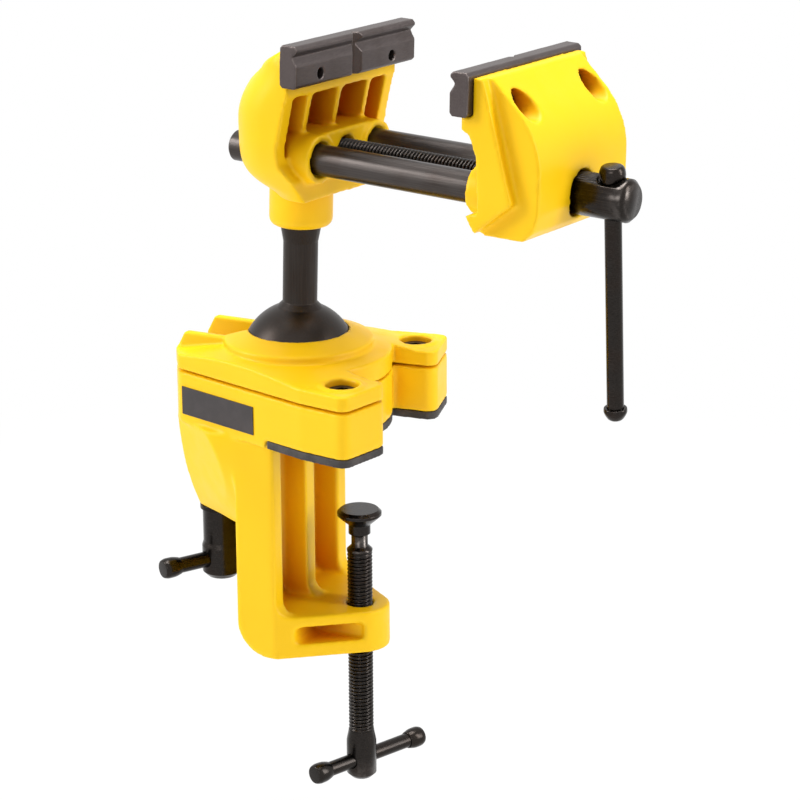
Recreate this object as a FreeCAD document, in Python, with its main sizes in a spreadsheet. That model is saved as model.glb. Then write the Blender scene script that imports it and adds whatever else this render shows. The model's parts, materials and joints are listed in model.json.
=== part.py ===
import FreeCAD, Part
import math
import operator
import os

import Sketcher

# Clamp-on multi-angle vise: a C-shaped base that clamps to a bench edge, a ball joint under a
# cap, and a small vise head with two guide bars and a screw.  Millimetres and degrees.
#
# Row frame: +X points from the bench edge on to the bench, +Z is up, and the origin lies where
# the clamp screw's axis meets the face that rests on the bench.  The base is drawn about the
# ball's centre, and the head is drawn upright about the same centre and then turned on it.

SIZES = [
    ("ball_back", 25.1, "ball centre behind the clamp screw's axis"),
    ("ball_high", 25.0, "ball centre above the bench"),
    ("ball_radius", 22.15, "ball of the stud"),
    ("ball_fit", 0.15, "radial gap between the ball and its seats"),
    ("ball_room", 0.45, "radial gap round the ball where it isn't seated"),
    ("running_fit", 0.08, "radial gap of a shaft in its bore"),
    ("seat_gap", 0.05, "gap between faces that are bolted or pinned together"),
    ("head_yaw", -8.48, "head's turn about the vertical"),
    ("head_pitch", 1.25, "head's tilt about the base's Y"),
    ("head_roll", -1.05, "head's tilt about its own X"),
    # base block and cap, seen from above
    ("rear_back", 46.0, "block's rear behind the ball"),
    ("rear_half", 14.0, "half width of the block's rear edge"),
    ("waist_back", 40.5, "rear end of the block's side"),
    ("waist_half", 22.3, "half width there"),
    ("shoulder_front", 22.0, "front end of the block's straight side"),
    ("shoulder_in", 3.4, "how much narrower each side is there than at the lugs"),
    ("lug_front", 48.0, "lug's front before the ball"),
    ("lug_half", 45.0, "half width at the lug's outer corner"),
    ("lug_taper", 6.0, "how far that corner lies behind the front"),
    ("lug_inner", 20.5, "lug's inner side at its front"),
    ("throat_half", 19.0, "half width where a lug leaves the round front"),
    ("throat_radius", 35.5, "block's round front about the ball"),
    ("lug_corner", 4.0, "rounding of the lug's corners"),
    ("rear_corner", 6.0, "rounding of the block's rear corners"),
    # base block and cap, heights from the ball's centre
    ("block_top", -4.5, "top of the block"),
    ("cap_under", -3.5, "underside of the cap"),
    ("cap_top", 2.3, "top of the cap's lugs"),
    ("pad_thick", 3.0, "rubber pad under the block"),
    ("ring_radius", 28.5, "cap's raised ring"),
    ("ring_foot", 5.7, "foot of the ring"),
    ("ring_edge", 8.4, "outer edge of the ring's top"),
    ("ring_mouth", 18.7, "radius of the ring's mouth"),
    ("dome_radius", 45.0, "outer radius of the cap's cone round the ring"),
    ("notch_half", 10.0, "half width of the notch for the post"),
    ("ridge_thick", 3.5, "walls beside the notch"),
    ("ridge_top", 8.5, "top of those walls"),
    ("ridge_back", 42.5, "rear end of their tops"),
    ("notch_floor", -7.8, "floor of the notch"),
    ("trough_half", 8.4, "half width of the trough behind the cap"),
    ("tongue_under", -15.5, "underside of the cap's tongue"),
    ("tongue_wall", 4.0, "tongue's walls beside the notch"),
    ("tongue_front", 23.6, "tongue's front end behind the ball"),
    ("tongue_back", 43.0, "tongue's rear end"),
    ("tongue_gap", 0.8, "room round the tongue in the block"),
    # lug screws
    ("lug_screw_front", 34.2, "cap screws before the ball"),
    ("lug_screw_half", 31.25, "cap screws beside it"),
    ("rim_radius", 8.4, "raised rims of the screw holes"),
    ("rim_high", 0.8, "height of those rims"),
    ("sink_radius", 6.2, "counterbore of the cap screws"),
    ("sink_floor", -4.2, "floor of the counterbore"),
    ("socket_under", -12.0, "underside of the cap's locating bosses"),
    ("cap_bolt_radius", 3.0, "M6 cap screws"),
    ("cap_bolt_head", 5.0, "radius of their heads"),
    ("cap_bolt_high", 5.0, "height of their heads"),
    ("cap_bolt_end", -20.0, "lower end of the cap screws"),
    ("hex_key", 2.7, "radius of their hexagon sockets"),
    # ball seat ring
    ("seat_radius", 20.0, "outer radius of the seat ring"),
    ("seat_top", -11.0, "top of the seat ring"),
    ("seat_under", -19.0, "underside of the seat ring"),
    ("seat_mouth", 11.8, "inner radius of its lower face"),
    ("cup_radius", 13.0, "boss under the ball's socket"),
    ("cup_under", -24.4, "underside of that boss"),
    # spine, arm and belly of the base
    ("spine_front", 4.0, "spine's front face before the ball"),
    ("spine_back", 13.0, "spine's rear face behind it"),
    ("spine_half", 30.4, "half width of the spine"),
    ("rib_half", 3.6, "half width of the spine's middle rib"),
    ("flange_thick", 7.4, "spine's side flanges"),
    ("pocket_deep", 11.0, "depth of the spine's front pockets"),
        ("arm_top", -96.0, "top of the lower arm"),
    ("throat_round", 6.0, "rounding between spine and arm"),
    ("arm_under", -113.0, "underside of the lower arm"),
    ("nose_radius", 11.5, "round end of the arm"),
    ("nose_angle", 54.0, "where the arm's sides meet the round end, degrees"),
    ("heel_radius", 14.0, "rounding under the spine"),
    ("slot_top", -100.6, "top of the arm's side slots"),
    ("slot_under", -107.4, "underside of the arm's side slots"),
    ("slot_back", 9.6, "rear end of the side slots"),
    ("slot_front", 31.6, "front end of the side slots"),
    ("slot_web", 8.0, "half thickness of the web between the slots"),
    ("slot_round", 2.0, "rounding of the slots' corners"),
    ("belly_reach", 25.0, "how far back the flat sides reach at the top"),
    ("belly_middle", -45.0, "height of the belly's middle section"),
    ("boss_under", -64.4, "underside of the lock's boss"),
    ("boss_radius", 8.0, "rear boss of the lock"),
    # lock
    ("lock_back", 36.2, "lock's axis behind the ball"),
    ("lock_bolt_radius", 4.0, "M8 lock bolt"),
    ("lock_bolt_top", -9.5, "upper end of the lock bolt"),
    ("barrel_radius", 7.7, "lock barrel"),
    ("barrel_top", -66.2, "top of the barrel"),
    ("barrel_under", -94.7, "underside of the barrel"),
    ("barrel_bar", -87.0, "height of its cross bar"),
    ("lock_bar_radius", 3.1, "lock's cross bar"),
    ("lock_bar_half", 20.4, "half length of that bar between its knobs"),
    ("lock_bar_turn", 59.7, "direction of the bar, degrees from +X"),
    ("lock_washer_radius", 8.0, "washer under the boss"),
    # clamp screw, heights from the bench
    ("disc_radius", 8.6, "clamp's pressure disc"),
    ("disc_top", -32.6, "top of the disc"),
    ("disc_thick", 3.4, "thickness of the disc"),
    ("cone_foot", -38.8, "lower end of the disc's cone"),
    ("socket_radius", 4.25, "socket under the disc"),
    ("socket_end", -42.4, "lower end of the socket"),
    ("neck_radius", 3.2, "screw's neck in the socket"),
    ("neck_top", -37.0, "upper end of the neck"),
    ("neck_end", -47.2, "lower end of the neck"),
    ("clamp_radius", 5.0, "M10 clamp screw"),
    ("hub_top", -125.0, "top of the clamp screw's hub"),
    ("hub_radius", 5.9, "radius of the hub"),
    ("hub_cone", 4.5, "length of the cone above the hub"),
    ("hub_edge", 1.8, "bevel under the hub"),
    ("hub_under", -145.0, "underside of the hub"),
    ("clamp_bar_high", -137.5, "height of the clamp's cross bar"),
    ("clamp_bar_radius", 2.9, "clamp's cross bar"),
    ("clamp_bar_half", 21.3, "half length of that bar between its knobs"),
    ("clamp_bar_turn", 67.0, "direction of the bar, degrees from +X"),
    ("clamp_bar_shift", 3.4, "how far the bar has slid along itself"),
    ("knob_radius", 4.1, "knobs of both cross bars"),
    ("knob_long", 6.4, "length of those knobs"),
    # post and head, heights above the ball's centre
    ("post_radius", 6.6, "post of the stud"),
    ("post_blend", 2.2, "rounding between ball and post"),
    ("flare_low", 46.0, "start of the post's flare"),
    ("spigot_radius", 7.8, "post inside the collar"),
    ("post_top", 74.2, "upper end of the post"),
    ("groove_high", 61.0, "retaining groove of the post"),
    ("groove_half", 3.6, "half width of that groove"),
    ("groove_deep", 1.6, "depth of that groove"),
    ("stop_screw_radius", 3.0, "M6 set screw in the collar"),
    ("collar_radius", 12.0, "collar of the head"),
    ("collar_low", 52.4, "underside of the collar"),
    ("collar_round", 3.0, "rounding of the collar's lower edge"),
    ("bar_high", 83.4, "axis of the screw and the guide bars"),
    ("bar_half", 17.8, "guide bars beside the screw"),
    ("bar_radius", 5.75, "guide bars"),
    ("bar_rear", -17.0, "rear ends of the guide bars"),
    ("bar_front", 114.0, "front ends of the guide bars"),
    ("bar_chamfer", 0.8, "chamfer of the guide bars' ends"),
    # jaw plates
    ("plate_length", 75.0, "jaw plates"),
    ("plate_thick", 7.4, "thickness of a plate"),
    ("plate_low", 112.3, "lower edge of a plate"),
    ("plate_high", 127.8, "upper edge of a plate"),
    ("plate_face", 24.3, "face of the fixed plate"),
    ("jaw_gap", 64.8, "opening between the plates"),
    ("vee_high", 123.7, "apex of the plates' long groove"),
    ("vee_deep", 2.0, "depth of the long groove"),
    ("vee_rise", 2.1, "long groove above its apex"),
    ("vee_drop", 3.2, "long groove below its apex"),
    ("notch_deep", 2.6, "depth of the plates' upright groove"),
    ("notch_wide", 2.9, "half width of that groove"),
    ("plate_edge", 1.1, "chamfer of the plates"),
    ("plate_screw_half", 22.5, "plate screws beside the middle"),
    ("plate_screw_high", 116.3, "height of the plate screws"),
    ("plate_screw_radius", 2.0, "M4 plate screws"),
    ("plate_screw_head", 3.6, "radius of their heads"),
    ("plate_screw_grip", 5.5, "how deep they stand in the plate"),
    ("plate_screw_seat", 3.6, "casting between head and plate"),
    # fixed jaw
    ("jaw_half", 34.5, "half width of the jaw castings"),
    ("jaw_top", 126.0, "top of the jaw castings"),
    ("band_front", 17.9, "front of the band under the fixed plate"),
    ("band_low", 107.3, "underside of that band"),
    ("jaw_rear", -14.7, "rear of the fixed jaw"),
    ("jaw_foot", 67.2, "underside of the fixed jaw"),
    ("band_step", 0.5, "step from the band back to the sides"),
    ("cheek_deep", 4.4, "how far the sides' front edges lie behind the band"),
    ("cheek_high", 88.5, "upper end of their upright part"),
    ("cheek_low", 82.5, "lower end of that part"),
    ("skirt_high", 76.0, "top of the skirt over the collar"),
    ("rib_place", 18.4, "outer ribs beside the middle"),
    ("rib_thick", 2.8, "ribs between the pockets"),
    ("cheek_thick", 5.6, "side walls of the fixed jaw"),
    ("side_thick", 3.6, "side walls of the moving jaw"),
    ("shelf_high", 92.3, "top of the fixed jaw's bridge between the bosses"),
    ("shelf_thick", 2.4, "shelf inside the moving jaw"),
    ("shelf_low", 75.2, "underside of the bridge"),
    ("shelf_front", 20.6, "front of the bridge"),
    ("side_well_low", 84.5, "lower end of the fixed jaw's outer pockets"),
    ("well_low", 76.5, "lower end of the moving jaw's outer pockets"),
    ("well_back", -8.5, "back of the middle pockets"),
    ("outer_well_back", 1.0, "back of the outer pockets"),
    ("boss_ring", 9.0, "radius of the guide bosses"),
    ("boss_front", 22.0, "front of the fixed jaw's bosses"),
    # screw and nut
    ("screw_radius", 4.9, "M10 main screw"),
    ("screw_end", -8.0, "rear end of the main screw"),
    ("nut_radius", 7.5, "lead nut"),
    ("nut_rear", -4.0, "rear face of the nut"),
    ("nut_front", 14.0, "front face of the nut"),
    ("screw_window", 6.1, "hole round the screw in the bridge"),
    ("journal_radius", 4.4, "journal of the screw in the moving jaw"),
    ("head_radius", 7.75, "head of the main screw"),
    ("head_front", 141.8, "outer end of the screw's head"),
    ("head_round", 1.6, "rounding of that end"),
    ("handle_place", 133.6, "handle's axis along the screw"),
    ("handle_radius", 3.1, "handle bar"),
    ("handle_fit", 0.15, "radial gap of the handle bars in their holes"),
    ("knob_nest", 2.4, "depth of the upper knob's seat in the screw's head"),
    ("handle_lean", 6.7, "turn of the hanging handle about the screw, degrees"),
    ("handle_top", 6.8, "upper end of the handle bar above the screw's axis"),
    ("handle_low", -80.2, "lower end of the handle bar from the screw's axis"),
    ("top_knob_radius", 4.85, "upper knob"),
    ("top_knob_high", 6.6, "height of the upper knob"),
    ("low_knob_radius", 4.4, "flange of the lower knob"),
    ("low_knob_high", 5.2, "height of the lower knob"),
    # moving jaw
    ("hood_half", 30.0, "half width of the hood"),
    ("hood_top_back", 101.2, "rear edge of the hood's top"),
    ("hood_shoulder", 111.2, "hood at its shoulder"),
    ("hood_shoulder_high", 116.6, "height of the shoulder"),
    ("hood_back", 121.7, "rear of the hood"),
    ("hood_round", 32.0, "radius of the hood's curve"),
    ("hood_curve_low", 92.0, "lower end of that curve"),
    ("hood_heel_high", 77.0, "height of the hood's heel"),
    ("hood_foot_back", 115.5, "rear edge of the hood's underside"),
    ("hood_foot", 70.4, "underside of the hood"),
    ("toe_front", 94.8, "front of the moving jaw's toe"),
    ("toe_high", 77.6, "top of the toe"),
    ("toe_back", 98.3, "rear of the toe's underside"),
    ("toe_lip", 1.4, "rise from the toe to the sides' front edges"),
    ("web_front", 99.6, "front edge of the moving jaw's sides"),
    ("web_lean", 1.4, "how far that edge leans forward on its way up"),
    ("web_high", 99.0, "height where it bends to the band"),
    ("web_step", 3.0, "step under the band"),
    ("web_drop", 1.3, "drop of that step"),
    ("band_back", 92.1, "front of the band under the moving plate"),
    ("cheek_top_back", 101.4, "rear edge of the cheeks at the top"),
    ("cheek_foot_back", 113.2, "rear edge of the cheeks at the foot"),
    ("cheek_foot_high", 83.6, "height of that corner"),
    ("moving_boss", 89.5, "front of the moving jaw's bosses"),
    ("moving_well", 114.0, "back of the moving jaw's pockets"),
    ("hub_boss", 12.0, "radius of the boss round the screw"),
    ("hub_boss_front", 101.5, "front of that boss"),
    ("counterbore_radius", 8.6, "counterbore for the screw's head"),
    ("counterbore_floor", 111.0, "floor of the counterbore"),
    ("washer_thick", 1.2, "thrust washer"),
    ("ring_thick", 1.5, "retaining ring on the journal"),
    ("ring_width", 6.0, "outer radius of the retaining ring"),
    ("pin_place", 105.0, "guide bar pins along the bars"),
    ("pin_radius", 2.0, "guide bar pins"),
    ("pin_low", 74.8, "lower end of the pins"),
    ("pin_high", 91.4, "upper end of the pins"),
    ("scallop_radius", 5.2, "pockets for the plate screws"),
    # blank badge on the base's side
    ("badge_thick", 0.4, "blank badge"),
    ("badge_rear", 2.0, "its rear end before the end of the block's side"),
    ("badge_long", 37.0, "its length along the base"),
    ("badge_low", 4.0, "its lower edge above the bench"),
    ("badge_high", 11.0, "its height"),
]

# Level sections of the fixed jaw's shell from its foot to its top: name, height, how far the back
# and each side lie inside the jaw's greatest depth and width, and the rear corners' rounding.
STATIONS = [
    ("foot", 67.2, 13.7, 11.8, 15.0),
    ("heel", 72.0, 7.5, 7.5, 18.0),
    ("calf", 77.0, 2.3, 3.5, 20.0),
    ("hip", 84.0, 0.5, 0.5, 22.0),
    ("waist", 95.0, 0.0, 0.0, 22.0),
    ("chest", 105.0, 2.1, 0.0, 22.0),
    ("shoulder", 115.0, 9.7, 0.3, 20.0),
    ("neck", 121.0, 21.5, 1.2, 5.5),
    ("crown", 125.4, 28.0, 3.6, 4.0),
]

OPERATIONS = {"+": operator.add, "-": operator.sub, "*": operator.mul, "/": operator.truediv}


class Size:
    """A cell of the sheet, or arithmetic on cells: its expression text and present value."""

    def __init__(self, text, value):
        self.text = text
        self.value = value

    def joined(self, other, sign, swapped=False):
        other = as_size(other)
        first, second = (other, self) if swapped else (self, other)
        text = "(%s %s %s)" % (first.text, sign, second.text)
        return Size(text, OPERATIONS[sign](first.value, second.value))

    def __add__(self, other):
        return self.joined(other, "+")

    def __radd__(self, other):
        return self.joined(other, "+", True)

    def __sub__(self, other):
        return self.joined(other, "-")

    def __rsub__(self, other):
        return self.joined(other, "-", True)

    def __mul__(self, other):
        return self.joined(other, "*")

    def __rmul__(self, other):
        return self.joined(other, "*", True)

    def __truediv__(self, other):
        return self.joined(other, "/")

    def __neg__(self):
        return Size("(0 - %s)" % self.text, -self.value)


def as_size(number):
    """A plain number as a Size; a Size stays as it is."""
    if isinstance(number, Size):
        return number
    return Size("(%r)" % number, number)


def root(size):
    """Square root of a Size."""
    return Size("sqrt(%s)" % size.text, math.sqrt(size.value))


def cosine(size):
    """Cosine of a Size in degrees."""
    return Size("cos(%s)" % size.text, math.cos(math.radians(size.value)))


def sine(size):
    """Sine of a Size in degrees."""
    return Size("sin(%s)" % size.text, math.sin(math.radians(size.value)))


def leg(hypotenuse, side):
    """The other side of a right-angled triangle."""
    return root(hypotenuse * hypotenuse - side * side)


def station_sizes():
    """The rows of the sheet for the fixed jaw's level sections."""
    rows = []
    for name, high, rear, side, rounding in STATIONS:
        rows += [(name + "_high", high, "height of the jaw's %s section" % name),
                 (name + "_rear", rear, "its back inside the jaw's rear"),
                 (name + "_side", side, "its sides inside the jaw's half width"),
                 (name + "_round", rounding, "its rear corners")]
    return rows


class Sheet:
    """The driving dimensions as attributes, kept in a spreadsheet of the document."""

    def __init__(self, document):
        cells = document.addObject("Spreadsheet::Sheet", "Sizes")
        for row, (alias, value, note) in enumerate(SIZES + station_sizes(), start=1):
            cells.set("A%d" % row, alias)
            cells.set("B%d" % row, str(value))
            cells.set("C%d" % row, note)
            cells.setAlias("B%d" % row, alias)
            setattr(self, alias, Size("Sizes.%s" % alias, value))
        document.recompute()

    def station(self, name):
        """Height, rear, half width and rear rounding of one section of the fixed jaw."""
        parts = [getattr(self, name + end) for end in ("_high", "_rear", "_side", "_round")]
        return parts[0], self.jaw_rear + parts[1], self.jaw_half - parts[2], parts[3]


doc = FreeCAD.newDocument("bench_vise")
S = Sheet(doc)


# ---------------------------------------------------------------- drawing helpers

def new_body(label):
    """An empty body whose label names its node."""
    body = doc.addObject("PartDesign::Body", label)
    body.Label = label
    return body


def own_plane(body, role):
    """One of the body's own origin planes."""
    return next(item for item in body.Origin.OriginFeatures if item.Role == role)


def new_sketch(body, role, offset):
    """A sketch on one of the body's planes, moved along the plane's normal."""
    sketch = body.newObject("Sketcher::SketchObject", "Sketch")
    sketch.AttachmentSupport = [(own_plane(body, role), "")]
    sketch.MapMode = "FlatFace"
    offset = as_size(offset)
    sketch.AttachmentOffset = FreeCAD.Placement(
        FreeCAD.Vector(0, 0, offset.value), FreeCAD.Rotation())
    sketch.setExpression("AttachmentOffset.Base.z", offset.text)
    return sketch


def bind_point(sketch, geometry, end, across, along):
    """Tie a point of the sketch to two sizes measured from the origin."""
    for kind, size in (("DistanceX", across), ("DistanceY", along)):
        size = as_size(size)
        index = sketch.addConstraint(
            Sketcher.Constraint(kind, -1, 1, geometry, end, size.value))
        sketch.setExpression("Constraints[%d]" % index, size.text)


def arc_between(first, last, radius):
    """The short arc of a signed radius from one point to the next; positive turns left."""
    chord = last - first
    lift = math.sqrt(max(radius * radius - chord.Length ** 2 / 4, 0.0))
    normal = FreeCAD.Vector(-chord.y, chord.x, 0).normalize()
    centre = (first + last) / 2 + normal * math.copysign(lift, radius)
    circle = Part.Circle(centre, FreeCAD.Vector(0, 0, 1), abs(radius))
    ends = (first, last) if radius > 0 else (last, first)
    angles = [math.atan2(end.y - centre.y, end.x - centre.x) for end in ends]
    if angles[1] < angles[0]:
        angles[1] += 2 * math.pi
    return Part.ArcOfCircle(circle, angles[0], angles[1])


def draw_loop(sketch, corners):
    """A closed loop; a corner is (x, y), or (x, y, radius) where an arc leads to the next."""
    places = [FreeCAD.Vector(as_size(c[0]).value, as_size(c[1]).value, 0) for c in corners]
    pieces = []
    for index, corner in enumerate(corners):
        first, last = places[index], places[(index + 1) % len(corners)]
        if len(corner) == 2:
            pieces.append((sketch.addGeometry(Part.LineSegment(first, last)), 1, 2))
            continue
        radius = corner[2]
        drawn = sketch.addGeometry(arc_between(first, last, radius.value))
        pieces.append((drawn, 1, 2) if radius.value > 0 else (drawn, 2, 1))
    for index, (drawn, _, end) in enumerate(pieces):
        following, start, _ = pieces[(index + 1) % len(pieces)]
        sketch.addConstraint(Sketcher.Constraint("Coincident", drawn, end, following, start))
    for (drawn, start, _), corner in zip(pieces, corners):
        bind_point(sketch, drawn, start, corner[0], corner[1])
        if len(corner) == 3:
            radius = corner[2] if corner[2].value > 0 else -corner[2]
            index = sketch.addConstraint(Sketcher.Constraint("Radius", drawn, radius.value))
            sketch.setExpression("Constraints[%d]" % index, radius.text)


def loops(body, role, outlines, offset=0):
    """A sketch that holds several closed loops."""
    sketch = new_sketch(body, role, offset)
    for corners in outlines:
        draw_loop(sketch, corners)
    return sketch


def circles(body, role, rounds, offset=0):
    """A sketch of circles, each (x, y, radius)."""
    sketch = new_sketch(body, role, offset)
    for across, along, radius in rounds:
        across, along = as_size(across), as_size(along)
        centre = FreeCAD.Vector(across.value, along.value, 0)
        circle = Part.Circle(centre, FreeCAD.Vector(0, 0, 1), radius.value)
        drawn = sketch.addGeometry(circle)
        bind_point(sketch, drawn, 3, across, along)
        index = sketch.addConstraint(Sketcher.Constraint("Radius", drawn, radius.value))
        sketch.setExpression("Constraints[%d]" % index, radius.text)
    return sketch


def rectangle(low_x, low_y, high_x, high_y):
    """The corners of a rectangle."""
    return [(low_x, low_y), (high_x, low_y), (high_x, high_y), (low_x, high_y)]


def hexagon(across, along, radius):
    """The corners of a regular hexagon."""
    turns = [math.radians(60 * step) for step in range(6)]
    return [(across + radius * math.cos(turn), along + radius * math.sin(turn)) for turn in turns]


def mirrored(half):
    """A loop that is symmetric about the sketch's X axis, from its upper half."""
    lower = [(corner[0], -corner[1]) for corner in reversed(half)]
    return list(half) + lower


def axis_line(sketch, across=None, along=None):
    """A construction line to turn a profile about, at one X or one Y of the sketch."""
    if along is not None:
        first = FreeCAD.Vector(0, along.value, 0)
        last = FreeCAD.Vector(10, along.value, 0)
        kind = "Horizontal"
        ends = (0, along)
    else:
        first = FreeCAD.Vector(across.value, 0, 0)
        last = FreeCAD.Vector(across.value, 10, 0)
        kind = "Vertical"
        ends = (across, 0)
    drawn = sketch.addGeometry(Part.LineSegment(first, last), True)
    sketch.addConstraint(Sketcher.Constraint(kind, drawn))
    bind_point(sketch, drawn, 1, ends[0], ends[1])
    return "Axis0"


VOLUMES = {}


def finish_feature(body, feature, grows):
    """Recompute and confirm that the feature added or removed material."""
    before = VOLUMES.get(body.Label, 0.0)
    body.Tip = feature
    doc.recompute()
    if feature.Shape.isNull():
        raise RuntimeError("%s of %s has no shape" % (feature.Name, body.Label))
    after = feature.Shape.Volume
    changed = after > before + 1e-6 if grows else after < before - 1e-6
    if not changed:
        raise RuntimeError("%s of %s changed nothing" % (feature.Name, body.Label))
    VOLUMES[body.Label] = after
    return feature


def extrude(body, kind, sketch, length, symmetric, reverse):
    """A pad or pocket of a sketch; with no length a pocket runs through everything."""
    feature = body.newObject("PartDesign::%s" % kind, kind)
    feature.Profile = sketch
    if length is None:
        feature.Type = "ThroughAll"
    else:
        length = as_size(length)
        feature.Length = length.value
        feature.setExpression("Length", length.text)
    if symmetric:
        feature.SideType = "Symmetric"
    feature.Reversed = reverse
    return finish_feature(body, feature, kind == "Pad")


def pad(body, sketch, length, symmetric=False, reverse=False):
    """Add a sketch's extrusion."""
    return extrude(body, "Pad", sketch, length, symmetric, reverse)


def pocket(body, sketch, length=None, symmetric=False, reverse=False):
    """Cut a sketch's extrusion."""
    return extrude(body, "Pocket", sketch, length, symmetric, reverse)


def turn(body, kind, sketch, axis):
    """A revolution or groove of a sketch about one of its axes."""
    feature = body.newObject("PartDesign::%s" % kind, kind)
    feature.Profile = sketch
    feature.ReferenceAxis = (sketch, [axis])
    feature.Angle = 360
    return finish_feature(body, feature, kind == "Revolution")


def revolve(body, sketch, axis="V_Axis"):
    """Add a full revolution."""
    return turn(body, "Revolution", sketch, axis)


def groove(body, sketch, axis="V_Axis"):
    """Cut a full revolution."""
    return turn(body, "Groove", sketch, axis)


def dress(body, kind, size, chosen):
    """A fillet or chamfer on the edges of the tip that a test picks."""
    tip = body.Tip
    names = ["Edge%d" % (i + 1) for i, edge in enumerate(tip.Shape.Edges) if chosen(edge)]
    if not names:
        raise RuntimeError("no edge to dress on %s" % body.Label)
    feature = body.newObject("PartDesign::%s" % kind, kind)
    feature.Base = (tip, names)
    key = "Radius" if kind == "Fillet" else "Size"
    feature.setExpression(key, as_size(size).text)
    body.Tip = feature
    doc.recompute()
    if feature.Shape.isNull():
        raise RuntimeError("%s of %s has no shape" % (feature.Name, body.Label))
    VOLUMES[body.Label] = feature.Shape.Volume
    return feature


def fillet(body, radius, chosen):
    """Round the edges that a test picks."""
    return dress(body, "Fillet", radius, chosen)


def chamfer(body, size, chosen):
    """Bevel the edges that a test picks."""
    return dress(body, "Chamfer", size, chosen)


def near(value, size):
    """True where a coordinate equals a size."""
    return abs(value - as_size(size).value) < 0.02


def spans(edge, axis):
    """The lowest and highest value of an edge along an axis."""
    box = edge.BoundBox
    return {"x": (box.XMin, box.XMax), "y": (box.YMin, box.YMax), "z": (box.ZMin, box.ZMax)}[axis]


def lies_at(edge, **places):
    """True where an edge lies wholly at the given coordinates."""
    for axis, size in places.items():
        low, high = spans(edge, axis)
        if not (near(low, size) and near(high, size)):
            return False
    return True


def upright_at(edge, across, half):
    """True for a vertical edge at x = across and y = plus or minus half."""
    low, high = spans(edge, "y")
    return lies_at(edge, x=across) and near(low, high) and near(abs(low), half)


def place_on_ball(body):
    """Put a body that is drawn about the ball's centre in the row frame."""
    body.setExpression("Placement.Base.x", "-Sizes.ball_back")
    body.setExpression("Placement.Base.z", "Sizes.ball_high")


def place_on_head(body):
    """Put a body of the head on the ball and turn it with the head."""
    place_on_ball(body)
    body.setExpression("Placement.Rotation.Yaw", "Sizes.head_yaw")
    body.setExpression("Placement.Rotation.Pitch", "Sizes.head_pitch")
    body.setExpression("Placement.Rotation.Roll", "Sizes.head_roll")


def place_on_screw(body):
    """Put a body that is drawn about the main screw's axis on the head, turned with the handle."""
    yaw, pitch, roll = S.head_yaw, S.head_pitch, S.head_roll
    across = cosine(yaw) * sine(pitch) * cosine(roll) + sine(yaw) * sine(roll)
    along = sine(yaw) * sine(pitch) * cosine(roll) - cosine(yaw) * sine(roll)
    up = cosine(pitch) * cosine(roll)
    body.setExpression("Placement.Base.x", (S.bar_high * across - S.ball_back).text)
    body.setExpression("Placement.Base.y", (S.bar_high * along).text)
    body.setExpression("Placement.Base.z", (S.bar_high * up + S.ball_high).text)
    body.setExpression("Placement.Rotation.Yaw", yaw.text)
    body.setExpression("Placement.Rotation.Pitch", pitch.text)
    body.setExpression("Placement.Rotation.Roll", (roll + S.handle_lean).text)


# ---------------------------------------------------------------- base

def side_half(across):
    """Half width of the block's straight side at one x."""
    slope = (S.lug_half - S.shoulder_in - S.waist_half) / (S.shoulder_front + S.waist_back)
    return S.waist_half + (across + S.waist_back) * slope


def block_plan():
    """The block's and the cap's outline from above."""
    crotch = leg(S.throat_radius, S.throat_half)
    half = [
        (-S.rear_back, S.rear_half),
        (-S.waist_back, S.waist_half),
        (S.shoulder_front, S.lug_half - S.shoulder_in),
        (S.lug_front - S.lug_taper, S.lug_half),
        (S.lug_front, S.lug_inner),
        (crotch, S.throat_half),
    ]
    loop = mirrored(half)
    loop[5] = (crotch, S.throat_half, -S.throat_radius)
    return loop


def lug_rounds(radius):
    """A circle at each cap screw."""
    return [(S.lug_screw_front, S.lug_screw_half, radius),
            (S.lug_screw_front, -S.lug_screw_half, radius)]


def is_lug_corner(edge):
    """True for the upright edges at the lugs' corners."""
    return (upright_at(edge, S.lug_front, S.lug_inner)
            or upright_at(edge, S.lug_front - S.lug_taper, S.lug_half))


def is_rear_corner(edge):
    """True for the upright edges at the block's rear corners."""
    return (upright_at(edge, -S.waist_back, S.waist_half)
            or upright_at(edge, -S.rear_back, S.rear_half))


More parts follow.
